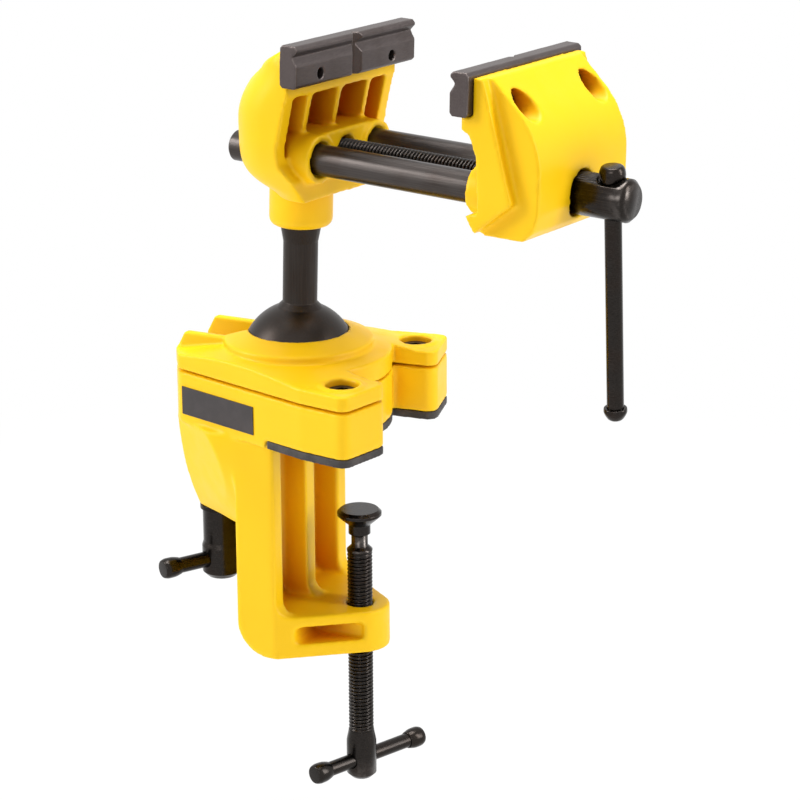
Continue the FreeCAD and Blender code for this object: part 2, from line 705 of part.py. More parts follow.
def make_base_casting():
    """C-shaped casting: block with the ball's socket, belly, spine and lower arm."""
    body = new_body("base_casting")
    under = S.pad_thick - S.ball_high
    pad(body, loops(body, "XY_Plane", [block_plan()], -S.ball_high), S.block_top + S.ball_high)
    rest = rectangle(S.spine_front, -S.lug_half * 2, S.lug_half * 2, S.lug_half * 2)
    pocket(body, loops(body, "XY_Plane", [rest], under), S.pad_thick * 2)
    fillet(body, S.lug_corner, is_lug_corner)
    fillet(body, S.rear_corner, is_rear_corner)
    add_belly(body)

    spine = rectangle(-S.spine_back, -S.spine_half, S.spine_front, S.spine_half)
    pad(body, loops(body, "XY_Plane", [spine], S.arm_under), under + 1 - S.arm_under)
    arm = [(-S.spine_back, S.spine_half), (S.spine_front, S.spine_half),
           (S.ball_back + S.nose_radius * cosine(S.nose_angle),
            S.nose_radius * sine(S.nose_angle))]
    plan = mirrored(arm)
    plan[2] = (arm[2][0], arm[2][1], -S.nose_radius)
    pad(body, loops(body, "XY_Plane", [plan], S.arm_under),
        S.arm_top + S.throat_round - S.arm_under)
    ahead = S.lug_half * 2
    throat = [(S.spine_front, under), (S.spine_front, S.arm_top + S.throat_round,
                                       S.throat_round),
              (S.spine_front + S.throat_round, S.arm_top), (ahead, S.arm_top), (ahead, under)]
    pocket(body, loops(body, "XZ_Plane", [throat]), ahead * 2, symmetric=True)
    fillet(body, S.heel_radius, lambda edge: lies_at(edge, x=-S.spine_back, z=S.arm_under))

    cut_spine_pockets(body)
    cut_arm_slots(body)
    cut_ball_socket(body)
    cut_lock_room(body)
    pocket(body, circles(body, "XY_Plane", lug_rounds(S.rim_radius + S.seat_gap), S.block_top),
           S.block_top - S.socket_under + S.seat_gap)
    pocket(body, circles(body, "XY_Plane", lug_rounds(S.cap_bolt_radius + S.seat_gap),
                         S.block_top), S.block_top - S.cap_bolt_end + 1)
    thread_room = S.clamp_radius + S.running_fit
    pocket(body, circles(body, "XY_Plane", [(S.ball_back, 0, thread_room)], S.arm_top + 1))
    place_on_ball(body)
    return body


def add_belly(body):
    """The rear belly narrows from the block's rear down to the boss of the lock."""
    top = [(-S.spine_front, S.spine_half), (-S.belly_reach, S.spine_half),
           (-S.rear_back + 1.5, S.rear_half + 3), (-S.rear_back - 0.5, 0)]
    middle = [(-S.spine_front, S.spine_half - 0.5), (-S.belly_reach + 7, S.spine_half - 2.5),
              (-S.rear_back + 2, S.rear_half - 1), (-S.rear_back, 0)]
    low = [(-S.spine_front, S.spine_half - 3), (-S.lock_back + 6, S.boss_radius + 3.6),
           (-S.lock_back - S.boss_radius * 0.7, S.boss_radius * 0.72),
           (-S.lock_back - S.boss_radius, 0)]
    heights = [-S.ball_high + 1, S.belly_middle, S.boss_under]
    sections = []
    for half, height in zip((top, middle, low), heights):
        lower = [(corner[0], -corner[1]) for corner in reversed(half[:-1])]
        sections.append(loops(body, "XY_Plane", [half + lower], height))
    feature = body.newObject("PartDesign::AdditiveLoft", "Belly")
    feature.Profile = sections[0]
    feature.Sections = sections[1:]
    finish_feature(body, feature, True)


def cut_spine_pockets(body):
    """Two tall pockets in the spine's front leave flanges and a middle rib."""
    under = S.pad_thick - S.ball_high
    inner = S.spine_half - S.flange_thick
    wells = [rectangle(S.rib_half, S.arm_top, inner, under),
             rectangle(-inner, S.arm_top, -S.rib_half, under)]
    pocket(body, loops(body, "YZ_Plane", wells, S.spine_front + S.throat_round),
           S.pocket_deep + S.throat_round)
    fillet(body, S.flange_thick * 0.6, lambda edge: lies_at(
        edge, x=S.spine_front - S.pocket_deep, z=S.arm_top))


def cut_arm_slots(body):
    """A slot in each side of the arm leaves a web in the middle."""
    slot = rectangle(S.slot_back, S.slot_under, S.slot_front, S.slot_top)
    pocket(body, loops(body, "XZ_Plane", [slot], S.slot_web), S.spine_half, reverse=True)
    pocket(body, loops(body, "XZ_Plane", [slot], -S.slot_web), S.spine_half)
    ends = (S.slot_back, S.slot_front)
    fillet(body, S.slot_round, lambda edge: any(
        lies_at(edge, x=end, z=level) for end in ends for level in (S.slot_top, S.slot_under)))


def cut_ball_socket(body):
    """Room for the ball and its seat ring, over a boss that closes the socket below."""
    boss = circles(body, "XY_Plane", [(0, 0, S.cup_radius)], S.cup_under)
    pad(body, boss, S.pad_thick)
    room = S.ball_radius + S.ball_room
    bottom = S.seat_under - S.seat_gap
    mouth = S.seat_radius + S.running_fit
    profile = [(0, -room, room), (leg(room, bottom), bottom), (mouth, bottom),
               (mouth, S.seat_top), (room, S.seat_top), (room, S.block_top + 1),
               (0, S.block_top + 1)]
    groove(body, loops(body, "XZ_Plane", [profile]))


def cut_lock_room(body):
    """Pocket for the cap's tongue, trough for the post and bore for the lock bolt."""
    side = S.notch_half + S.tongue_wall + S.tongue_gap
    room = rectangle(-S.tongue_back - S.tongue_gap, -side, -S.tongue_front + 6, side)
    pocket(body, loops(body, "XY_Plane", [room], S.block_top),
           S.block_top - S.tongue_under + S.tongue_gap)
    trough = rectangle(-S.rear_back - 5, -S.trough_half, -S.tongue_back, S.trough_half)
    pocket(body, loops(body, "XY_Plane", [trough], S.block_top), S.block_top - S.notch_floor)
    bore = S.lock_bolt_radius + S.running_fit
    pocket(body, circles(body, "XY_Plane", [(-S.lock_back, 0, bore)], S.block_top))


def make_bench_pad():
    """Rubber pad glued under the block, where it rests on the bench."""
    body = new_body("bench_pad")
    plan = [(S.spine_front + 1, side_half(S.spine_front)),
            (S.shoulder_front, S.lug_half - S.shoulder_in),
            (S.lug_front - S.lug_taper, S.lug_half),
            (S.lug_front, S.lug_inner),
            (leg(S.throat_radius, S.throat_half), S.throat_half)]
    loop = mirrored(plan)
    loop[4] = (plan[4][0], plan[4][1], -S.throat_radius)
    pad(body, loops(body, "XY_Plane", [loop], -S.ball_high), S.pad_thick)
    fillet(body, S.lug_corner, is_lug_corner)
    pocket(body, circles(body, "XY_Plane", [(0, 0, S.cup_radius + 0.4)], 0))
    place_on_ball(body)
    return body


def make_clamp_cap():
    """Cap that holds the ball down: raised ring, notch for the post and two lugs."""
    body = new_body("clamp_cap")
    bowl = S.ball_radius + S.ball_fit
    outer = S.lug_half + S.lug_front
    mouth_top = leg(bowl, S.ring_mouth)
    profile = [(leg(bowl, S.cap_under), S.cap_under), (outer, S.cap_under),
               (outer, S.cap_top), (S.dome_radius, S.cap_top), (S.ring_radius, S.ring_foot),
               (S.ring_radius, S.ring_edge), (S.ring_mouth, mouth_top, -bowl)]
    revolve(body, loops(body, "XZ_Plane", [profile]))

    side = S.notch_half + S.ridge_thick
    ridge = [(-S.tongue_front, S.cap_under), (-S.rear_back - 2, S.cap_under),
             (-S.rear_back - 1, 0), (-S.ridge_back, S.ridge_top), (-S.tongue_front, S.ridge_top)]
    pad(body, loops(body, "XZ_Plane", [ridge]), 2 * side, symmetric=True)
    edge = S.tongue_wall + S.notch_half
    tongue = rectangle(-S.tongue_back, -edge, -S.tongue_front, edge)
    pad(body, loops(body, "XY_Plane", [tongue], S.tongue_under), S.cap_top - S.tongue_under)
    pad(body, circles(body, "XY_Plane", lug_rounds(S.rim_radius), S.socket_under),
        S.cap_top + S.rim_high - S.socket_under)

    frame = rectangle(-outer, -outer, outer, outer)
    pocket(body, loops(body, "XY_Plane", [frame, block_plan()], S.cap_under),
           S.ring_edge * 4, symmetric=True)
    fillet(body, S.lug_corner, is_lug_corner)
    fillet(body, S.rear_corner * 0.6, lambda edge: upright_at(edge, -S.waist_back, S.waist_half))
    notch = [(-S.rear_back - 5, -S.notch_half), (0, -S.notch_half), (0, S.notch_half),
             (-S.rear_back - 5, S.notch_half)]
    pocket(body, loops(body, "XY_Plane", [notch], S.notch_floor), S.ring_edge * 4, reverse=True)
    pocket(body, circles(body, "XY_Plane", lug_rounds(S.sink_radius), S.sink_floor),
           S.ring_edge * 4, reverse=True)
    pocket(body, circles(body, "XY_Plane", lug_rounds(S.cap_bolt_radius + S.seat_gap), 0))
    bolt = circles(body, "XY_Plane",
                   [(-S.lock_back, 0, S.lock_bolt_radius + S.seat_gap)], S.tongue_under)
    pocket(body, bolt, S.lock_bolt_top - S.tongue_under + S.seat_gap, reverse=True)
    place_on_ball(body)
    return body


def make_cap_screws():
    """Two socket-head screws that hold the cap's lugs."""
    body = new_body("cap_screws")
    seat = S.sink_floor + S.seat_gap
    body.AllowCompound = True
    pad(body, circles(body, "XY_Plane", lug_rounds(S.cap_bolt_head), seat), S.cap_bolt_high)
    pad(body, circles(body, "XY_Plane", lug_rounds(S.cap_bolt_radius), S.cap_bolt_end),
        seat - S.cap_bolt_end)
    keys = [hexagon(S.lug_screw_front, side, S.hex_key)
            for side in (S.lug_screw_half, -S.lug_screw_half)]
    pocket(body, loops(body, "XY_Plane", keys, seat + S.cap_bolt_high), S.cap_bolt_high * 0.6)
    place_on_ball(body)
    return body


def make_ball_seat():
    """Ring under the ball that turns with it in the block."""
    body = new_body("ball_seat")
    bowl = S.ball_radius + S.ball_fit
    profile = [(S.seat_mouth, S.seat_under), (S.seat_radius, S.seat_under),
               (S.seat_radius, S.seat_top), (leg(bowl, S.seat_top), S.seat_top, -bowl),
               (leg(bowl, S.seat_under), S.seat_under)]
    revolve(body, loops(body, "XZ_Plane", [profile]))
    place_on_ball(body)
    return body


def make_badge():
    """Blank dark badge on the near side of the block."""
    body = new_body("side_badge")
    rear = S.badge_rear - S.waist_back
    front = rear + S.badge_long
    plan = [(rear, -side_half(rear)), (rear, -side_half(rear) - S.badge_thick),
            (front, -side_half(front) - S.badge_thick), (front, -side_half(front))]
    pad(body, loops(body, "XY_Plane", [plan], S.badge_low - S.ball_high), S.badge_high)
    place_on_ball(body)
    return body


# ---------------------------------------------------------------- lock

def place_on_lock(body):
    """Put a body that is drawn about the lock's axis in the row frame."""
    body.setExpression("Placement.Base.x", "-Sizes.ball_back - Sizes.lock_back")
    body.setExpression("Placement.Base.z", "Sizes.ball_high")


def make_lock_washer():
    """Washer between the boss and the barrel."""
    body = new_body("lock_washer")
    bore = S.lock_bolt_radius + S.running_fit
    top = S.boss_under - S.seat_gap
    profile = [(bore, S.barrel_top + S.seat_gap), (S.lock_washer_radius, S.barrel_top + S.seat_gap),
               (S.lock_washer_radius, top), (bore, top)]
    revolve(body, loops(body, "XZ_Plane", [profile]))
    place_on_lock(body)
    return body


def make_lock_bolt():
    """Bolt from the barrel up into the cap's tongue."""
    body = new_body("lock_bolt")
    low = S.barrel_bar + S.lock_bar_radius + 4
    profile = [(0, low), (S.lock_bolt_radius, low), (S.lock_bolt_radius, S.lock_bolt_top - 1),
               (S.lock_bolt_radius - 1, S.lock_bolt_top), (0, S.lock_bolt_top)]
    revolve(body, loops(body, "XZ_Plane", [profile]))
    place_on_lock(body)
    return body


def make_lock_barrel():
    """Barrel that carries the lock's cross bar."""
    body = new_body("lock_barrel")
    low = S.barrel_bar + S.lock_bar_radius + 4
    bore = S.lock_bolt_radius + S.seat_gap
    profile = [(0, S.barrel_under), (S.barrel_radius - 2, S.barrel_under),
               (S.barrel_radius, S.barrel_under + 2), (S.barrel_radius, S.barrel_bar + 5),
               (S.barrel_radius - 0.6, S.barrel_bar + 7), (S.barrel_radius - 0.6, S.barrel_top),
               (bore, S.barrel_top), (bore, low - S.seat_gap), (0, low - S.seat_gap)]
    revolve(body, loops(body, "XZ_Plane", [profile]))
    hole = circles(body, "YZ_Plane", [(0, S.barrel_bar, S.lock_bar_radius + S.handle_fit)], 0)
    pocket(body, hole, S.barrel_radius * 3, symmetric=True)
    place_on_lock(body)
    body.setExpression("Placement.Rotation.Yaw", "Sizes.lock_bar_turn")
    return body


def cross_bar(label, radius, half, height, shift=0):
    """A bar along its body's X between two knobs, slid along itself by a shift."""
    body = new_body(label)
    pad(body, circles(body, "YZ_Plane", [(0, height, radius)], shift - half), 2 * half)
    return body


def cross_knobs(label, radius, half, height, shift=0):
    """Two knobs on the ends of a cross bar, with rounded edges."""
    body = new_body(label)
    body.AllowCompound = True
    crown = (S.knob_radius - radius) / 2
    for side in (1, -1):
        end = shift + side * half
        first = end - side
        last = end + side * S.knob_long
        inside = side * S.knob_long * 0.2
        profile = [(first, height + radius), (first, height + S.knob_radius - crown),
                   (first + inside, height + S.knob_radius),
                   (last - inside, height + S.knob_radius),
                   (last, height + S.knob_radius - crown), (last, height),
                   (end, height), (end, height + radius)]
        sketch = loops(body, "XZ_Plane", [profile])
        revolve(body, sketch, axis_line(sketch, along=height))
    return body


def make_lock_tbar():
    """Cross bar of the lock."""
    body = cross_bar("lock_tbar", S.lock_bar_radius, S.lock_bar_half, S.barrel_bar)
    place_on_lock(body)
    body.setExpression("Placement.Rotation.Yaw", "Sizes.lock_bar_turn")
    return body


def make_lock_knobs():
    """Knobs on the lock's cross bar."""
    body = cross_knobs("lock_tbar_knobs", S.lock_bar_radius, S.lock_bar_half, S.barrel_bar)
    place_on_lock(body)
    body.setExpression("Placement.Rotation.Yaw", "Sizes.lock_bar_turn")
    return body


# ---------------------------------------------------------------- bench clamp

def make_clamp_pad():
    """Pressure disc with a socket for the screw's neck."""
    body = new_body("clamp_pad")
    bore = S.neck_radius + S.running_fit
    roof = S.neck_top + S.seat_gap
    rim = S.disc_thick * 0.35
    under = S.disc_top - S.disc_thick
    profile = [(0, S.disc_top), (S.disc_radius - rim, S.disc_top),
               (S.disc_radius, S.disc_top - rim), (S.disc_radius, under + rim),
               (S.disc_radius - rim, under), (S.socket_radius, S.cone_foot),
               (S.socket_radius, S.socket_end), (bore, S.socket_end), (bore, roof), (0, roof)]
    revolve(body, loops(body, "XZ_Plane", [profile]))
    return body


def make_clamp_screw():
    """Clamp screw with its neck above and its hub below."""
    body = new_body("clamp_screw")
    profile = [(0, S.neck_top), (S.neck_radius, S.neck_top), (S.neck_radius, S.neck_end),
               (S.clamp_radius, S.neck_end - 1.8), (S.clamp_radius, S.hub_top),
               (S.hub_radius, S.hub_top - S.hub_cone), (S.hub_radius, S.hub_under + S.hub_edge),
               (S.hub_radius - S.hub_edge, S.hub_under), (0, S.hub_under)]
    revolve(body, loops(body, "XZ_Plane", [profile]))
    hole = S.clamp_bar_radius + S.handle_fit
    pocket(body, circles(body, "YZ_Plane", [(0, S.clamp_bar_high, hole)], 0),
           S.hub_radius * 3, symmetric=True)
    body.setExpression("Placement.Rotation.Yaw", "Sizes.clamp_bar_turn")
    return body


def make_clamp_tbar():
    """Cross bar of the clamp screw."""
    body = cross_bar("clamp_tbar", S.clamp_bar_radius, S.clamp_bar_half, S.clamp_bar_high,
                     S.clamp_bar_shift)
    body.setExpression("Placement.Rotation.Yaw", "Sizes.clamp_bar_turn")
    return body


def make_clamp_knobs():
    """Knobs on the clamp's cross bar."""
    body = cross_knobs("clamp_tbar_knobs", S.clamp_bar_radius, S.clamp_bar_half,
                       S.clamp_bar_high, S.clamp_bar_shift)
    body.setExpression("Placement.Rotation.Yaw", "Sizes.clamp_bar_turn")
    return body


# ---------------------------------------------------------------- head: fixed side

def make_ball_stud():
    """Ball with its post."""
    body = new_body("ball_stud")
    foot = S.post_radius + S.post_blend
    rim = leg(S.ball_radius, foot)
    groove_low = S.groove_high - S.groove_half
    groove_top = S.groove_high + S.groove_half
    waist = S.spigot_radius - S.groove_deep
    profile = [(0, -S.ball_radius, S.ball_radius), (S.ball_radius, 0, S.ball_radius),
               (foot, rim), (S.post_radius, rim + S.post_blend), (S.post_radius, S.flare_low),
               (S.spigot_radius, S.collar_low), (S.spigot_radius, groove_low),
               (waist, groove_low + 0.4), (waist, groove_top - 0.4), (S.spigot_radius, groove_top),
               (S.spigot_radius, S.post_top - 1), (S.spigot_radius - 1, S.post_top),
               (0, S.post_top)]
    revolve(body, loops(body, "XZ_Plane", [profile]))
    place_on_head(body)
    return body


def bar_rounds(radius):
    """A circle at each guide bar."""
    return [(S.bar_half, S.bar_high, radius), (-S.bar_half, S.bar_high, radius)]


def plate_rounds(radius):
    """A circle at each plate screw."""
    return [(S.plate_screw_half, S.plate_screw_high, radius),
            (-S.plate_screw_half, S.plate_screw_high, radius)]


def upper_wells(low, outer_low, cheek):
    """Loops of the pockets between a jaw's ribs: two in the middle and two outside."""
    rib = S.rib_thick / 2
    middle = [rectangle(rib, low, S.rib_place - rib, S.band_low),
              rectangle(rib - S.rib_place, low, -rib, S.band_low)]
    outer = [rectangle(S.rib_place + rib, outer_low, cheek, S.band_low),
             rectangle(-cheek, outer_low, -S.rib_place - rib, S.band_low)]
    return middle, outer


def make_fixed_jaw_body():
    """Fixed jaw: a round-backed casting with ribbed pockets, bar bosses and the collar."""
    body = new_body("fixed_jaw_body")
    sections = []
    for name, *_ in STATIONS:
        high, rear, half, rounding = S.station(name)
        level = [(S.band_front, -half), (S.band_front, half), (rear + rounding, half, rounding),
                 (rear, half - rounding), (rear, rounding - half, rounding),
                 (rear + rounding, -half)]
        sections.append(loops(body, "XY_Plane", [level], high))
    shell = body.newObject("PartDesign::AdditiveLoft", "Shell")
    shell.Profile = sections[0]
    shell.Sections = sections[1:]
    finish_feature(body, shell, True)

    back = S.plate_face - S.plate_thick - S.seat_gap
    seat = S.plate_low - S.seat_gap
    ahead = S.plate_face * 2
    rest = rectangle(back, seat, ahead, S.jaw_top * 2)
    waist = S.band_front - S.cheek_deep
    cheeks = [(ahead, S.band_low), (S.band_front - S.band_step, S.band_low),
              (waist, S.cheek_high), (waist, S.cheek_low), (S.band_front, S.skirt_high),
              (ahead, S.skirt_high)]
    pocket(body, loops(body, "XZ_Plane", [rest]), S.jaw_half * 4, symmetric=True)
    pocket(body, loops(body, "XZ_Plane", [cheeks]), S.jaw_half * 4, symmetric=True)

    shelf = rectangle(-S.bar_half, S.shelf_low, S.bar_half, S.shelf_high)
    middle, outer = upper_wells(S.shelf_high, S.side_well_low, S.jaw_half - S.cheek_thick)
    pocket(body, loops(body, "YZ_Plane", middle, S.boss_front), S.boss_front - S.well_back)
    pocket(body, loops(body, "YZ_Plane", outer, S.boss_front),
           S.boss_front - S.outer_well_back)
    pad(body, loops(body, "YZ_Plane", [shelf], 0), S.shelf_front)
    pad(body, circles(body, "YZ_Plane", bar_rounds(S.boss_ring), -5), S.boss_front + 5)
    pad(body, circles(body, "XY_Plane", [(0, 0, S.collar_radius)], S.collar_low),
        S.skirt_high - S.collar_low)
    fillet(body, S.collar_round, lambda edge: lies_at(edge, z=S.collar_low))
    bore_fixed_jaw(body)
    place_on_head(body)
    return body


def bore_fixed_jaw(body):
    """Bores of the fixed jaw: bars, screw, nut, post, set screw and plate screws."""
    deep = S.boss_front * 4
    pocket(body, circles(body, "YZ_Plane", bar_rounds(S.bar_radius + S.running_fit), 0),
           deep, symmetric=True)
    pocket(body, circles(body, "YZ_Plane", bar_rounds(S.bar_radius + 0.9), S.boss_front), 2)
    window = circles(body, "YZ_Plane", [(0, S.bar_high, S.screw_window)], 0)
    pocket(body, window, deep, symmetric=True)
    nest = circles(body, "YZ_Plane", [(0, S.bar_high, S.nut_radius + S.seat_gap)],
                   S.nut_front + S.seat_gap)
    pocket(body, nest, deep)
    post = circles(body, "XY_Plane", [(0, 0, S.spigot_radius + S.running_fit)],
                   S.post_top + 0.3)
    pocket(body, post, S.post_top)
    stop = circles(body, "YZ_Plane", [(0, S.groove_high, S.stop_screw_radius + S.seat_gap)], 0)
    pocket(body, stop, S.collar_radius + 5)
    pocket(body, circles(body, "YZ_Plane", plate_rounds(S.plate_screw_radius + S.seat_gap), 0),
           deep, symmetric=True)
    head_seat = S.plate_face - S.plate_thick - S.plate_screw_seat
    pocket(body, circles(body, "YZ_Plane", plate_rounds(S.scallop_radius), head_seat), deep)


def make_lead_nut():
    """Nut of the main screw, pressed into the fixed jaw from behind."""
    body = new_body("lead_nut")
    rounds = [(0, S.bar_high, S.nut_radius), (0, S.bar_high, S.screw_radius + S.running_fit)]
    pad(body, circles(body, "YZ_Plane", rounds, S.nut_rear), S.nut_front - S.nut_rear)
    place_on_head(body)
    return body


def make_post_set_screw():
    """Set screw in the back of the collar that keeps the head on the post."""
    body = new_body("post_set_screw")
    tip = S.spigot_radius - S.groove_deep + 0.3
    shank = circles(body, "YZ_Plane", [(0, S.groove_high, S.stop_screw_radius)],
                    -S.collar_radius + 0.2)
    pad(body, shank, S.collar_radius - 0.2 - tip)
    key = [hexagon(as_size(0), S.groove_high, S.stop_screw_radius * 0.5)]
    pocket(body, loops(body, "YZ_Plane", key, -S.collar_radius + 0.2), 2, reverse=True)
    place_on_head(body)
    return body


def plate_profile(face, back, side):
    """Outline of a jaw plate from its end; side is +1 where the face looks along +X."""
    edge = side * S.plate_edge
    deep = side * S.vee_deep
    return [(back, S.plate_low + S.plate_edge), (back + edge, S.plate_low),
            (face - edge, S.plate_low), (face, S.plate_low + S.plate_edge),
            (face, S.vee_high - S.vee_drop), (face - deep, S.vee_high),
            (face, S.vee_high + S.vee_rise), (face, S.plate_high - S.plate_edge),
            (face - edge, S.plate_high), (back + edge, S.plate_high),
            (back, S.plate_high - S.plate_edge)]


def make_plate(label, face, side):
    """A jaw plate with a long groove, an upright groove and two tapped holes."""
    body = new_body(label)
    back = face - side * S.plate_thick
    pad(body, loops(body, "XZ_Plane", [plate_profile(face, back, side)]), S.plate_length,
        symmetric=True)
    deep = side * S.notch_deep
    vee = [(face, -S.notch_wide), (face - deep, 0), (face, S.notch_wide),
           (face + deep, S.notch_wide), (face + deep, -S.notch_wide)]
    pocket(body, loops(body, "XY_Plane", [vee], 0), S.plate_high * 3, symmetric=True)
    pocket(body, circles(body, "YZ_Plane", plate_rounds(S.plate_screw_radius + S.seat_gap), 0),
           S.plate_face * 12, symmetric=True)
    place_on_head(body)
    return body


def make_plate_screws(label, face, side):
    """The two screws that hold a plate from behind."""
    body = new_body(label)
    body.AllowCompound = True
    back = face - side * S.plate_thick
    head_seat = back - side * S.plate_screw_seat
    under_head = head_seat - side * S.seat_gap
    shank = circles(body, "YZ_Plane", plate_rounds(S.plate_screw_radius), under_head)
    pad(body, shank, S.plate_screw_grip + S.plate_screw_seat + S.seat_gap, reverse=side < 0)
    heads = circles(body, "YZ_Plane", plate_rounds(S.plate_screw_head), under_head)
    pad(body, heads, S.plate_screw_head, reverse=side > 0)
    outer = under_head - side * S.plate_screw_head
    keys = [hexagon(centre, S.plate_screw_high, S.plate_screw_head * 0.5)
            for centre in (S.plate_screw_half, -S.plate_screw_half)]
    pocket(body, loops(body, "YZ_Plane", keys, outer), S.plate_screw_head * 0.6,
           reverse=side > 0)
    place_on_head(body)
    return body


# ---------------------------------------------------------------- head: moving side

def make_moving_jaw_body():
    """Moving jaw: a hood between two cheeks, with the bars' and the screw's bosses."""
    body = new_body("moving_jaw_body")
    back = S.plate_face + S.jaw_gap + S.plate_thick + S.seat_gap
    seat = S.plate_low - S.seat_gap
    web_top = S.band_low - S.web_drop
    front = [(S.toe_back, S.hood_foot + 1), (S.toe_front, S.toe_high),
             (S.web_front, S.toe_high + S.toe_lip), (S.web_front - S.web_lean, S.web_high),
             (S.band_back + S.web_step, web_top), (S.band_back, S.band_low),
             (S.band_back, seat), (back, seat), (back, S.jaw_top)]
    cheek = front + [(S.cheek_top_back - 1.4, S.jaw_top), (S.cheek_top_back, S.jaw_top - 4),
                     (S.cheek_foot_back, S.cheek_foot_high)]
    pad(body, loops(body, "XZ_Plane", [cheek]), 2 * S.jaw_half, symmetric=True)
    hood = front + [(S.hood_top_back, S.jaw_top), (S.hood_shoulder, S.hood_shoulder_high,
                                                   -S.hood_round),
                    (S.hood_back, S.hood_curve_low), (S.hood_back, S.hood_heel_high + 4),
                    (S.hood_back - 2.2, S.hood_heel_high - 3), (S.hood_foot_back, S.hood_foot),
                    (S.toe_back + 2, S.hood_foot)]
    pad(body, loops(body, "XZ_Plane", [hood]), 2 * S.hood_half, symmetric=True)

    shelf = S.bar_high + S.ring_width + S.shelf_thick + 0.5
    middle, outer = upper_wells(shelf, S.well_low, S.hood_half - S.side_thick)
    reach = S.moving_well - 6
    front_face = S.moving_boss - 3
    pocket(body, loops(body, "YZ_Plane", middle, front_face), reach - front_face, reverse=True)
    pocket(body, loops(body, "YZ_Plane", outer, front_face), S.moving_well - front_face,
           reverse=True)
    lower = rectangle(S.toe_front - 3, S.well_low, S.moving_well, shelf - S.shelf_thick)
    inner = S.hood_half - S.side_thick
    pocket(body, loops(body, "XZ_Plane", [lower]), 2 * inner, symmetric=True)
    bore_moving_jaw(body)
    place_on_head(body)
    return body


def bore_moving_jaw(body):
    """Bosses and bores of the moving jaw."""
    pad(body, circles(body, "YZ_Plane", bar_rounds(S.boss_ring), S.moving_boss),
        S.moving_well + 2 - S.moving_boss)
    pad(body, circles(body, "YZ_Plane", [(0, S.bar_high, S.hub_boss)], S.hub_boss_front),
        S.moving_well + 2 - S.hub_boss_front)
    deep = S.hood_back
    pocket(body, circles(body, "YZ_Plane", bar_rounds(S.bar_radius + S.seat_gap),
                         S.bar_front + S.seat_gap), deep)
    pocket(body, circles(body, "YZ_Plane", [(0, S.bar_high, S.journal_radius + S.running_fit)],
                         0), deep * 3, symmetric=True)
    sink = circles(body, "YZ_Plane", [(0, S.bar_high, S.counterbore_radius)],
                   S.counterbore_floor)
    pocket(body, sink, deep, reverse=True)
    pocket(body, circles(body, "XY_Plane", pin_rounds(S.pin_radius + S.seat_gap),
                         S.pin_high + 0.5), S.pin_high)
    pocket(body, circles(body, "YZ_Plane", plate_rounds(S.plate_screw_radius + S.seat_gap), 0),
           deep, reverse=True)
    seat = S.plate_face + S.jaw_gap + S.plate_thick + S.plate_screw_seat
    pocket(body, circles(body, "YZ_Plane", plate_rounds(S.scallop_radius), seat), deep,
           reverse=True)


def pin_rounds(radius):
    """A circle at each guide bar's pin, seen from above."""
    return [(S.pin_place, S.bar_half, radius), (S.pin_place, -S.bar_half, radius)]


def make_guide_bar(label, side):
    """A round guide bar, pinned in the moving jaw."""
    body = new_body(label)
    pad(body, circles(body, "YZ_Plane", [(side * S.bar_half, S.bar_high, S.bar_radius)],
                      S.bar_rear), S.bar_front - S.bar_rear)
    chamfer(body, S.bar_chamfer, lambda edge: lies_at(edge, x=S.bar_rear)
            or lies_at(edge, x=S.bar_front))
    hole = [(S.pin_place, side * S.bar_half, S.pin_radius + S.seat_gap)]
    pocket(body, circles(body, "XY_Plane", hole, 0), S.bar_high * 3, symmetric=True)
    place_on_head(body)
    return body


def make_guide_bar_pins():
    """The pins that hold the bars in the moving jaw."""
    body = new_body("guide_bar_pins")
    body.AllowCompound = True
    pad(body, circles(body, "XY_Plane", pin_rounds(S.pin_radius), S.pin_low),
        S.pin_high - S.pin_low)
    place_on_head(body)
    return body


def turned_on_screw(label, profile):
    """A body turned about the main screw's axis; the profile is (x, distance from axis)."""
    body = new_body(label)
    revolve(body, loops(body, "XZ_Plane", [profile]), "H_Axis")
    place_on_screw(body)
    return body


def make_main_screw():
    """Main screw: thread, journal in the moving jaw and head with the handle's hole."""
    shoulder = S.counterbore_floor + S.washer_thick + 2 * S.seat_gap
    journal_start = S.hub_boss_front - S.ring_thick - 2
    profile = [(S.screw_end, 0), (S.head_front, 0), (S.head_front, S.head_radius - S.head_round),
               (S.head_front - S.head_round, S.head_radius), (shoulder, S.head_radius),
               (shoulder, S.journal_radius), (journal_start + 0.5, S.journal_radius),
               (journal_start, S.screw_radius), (S.screw_end + 1.2, S.screw_radius),
               (S.screw_end, S.screw_radius - 1.2)]
    body = turned_on_screw("main_screw", profile)
    hole = circles(body, "XY_Plane", [(S.handle_place, 0, S.handle_radius + S.handle_fit)], 0)
    pocket(body, hole, S.head_radius * 3, symmetric=True)
    nest = circles(body, "XY_Plane", [(S.handle_place, 0, S.top_knob_radius + S.handle_fit)],
                   S.head_radius - S.knob_nest)
    pocket(body, nest, S.head_radius, reverse=True)
    return body


def make_thrust_washer():
    """Washer under the main screw's head."""
    bore = S.journal_radius + S.running_fit
    first = S.counterbore_floor + S.seat_gap
    profile = [(first, bore), (first + S.washer_thick, bore),
               (first + S.washer_thick, S.head_radius), (first, S.head_radius)]
    return turned_on_screw("thrust_washer", profile)


def make_retaining_ring():
    """Ring on the journal, on the inner side of the moving jaw."""
    bore = S.journal_radius + S.seat_gap
    last = S.hub_boss_front - S.seat_gap
    profile = [(last - S.ring_thick, bore), (last, bore), (last, S.ring_width),
               (last - S.ring_thick, S.ring_width)]
    return turned_on_screw("retaining_ring", profile)


def make_handle_bar():
    """Sliding handle bar of the main screw."""
    body = new_body("handle_bar")
    pad(body, circles(body, "XY_Plane", [(S.handle_place, 0, S.handle_radius)], S.handle_low),
        S.handle_top - S.handle_low)
    place_on_screw(body)
    return body


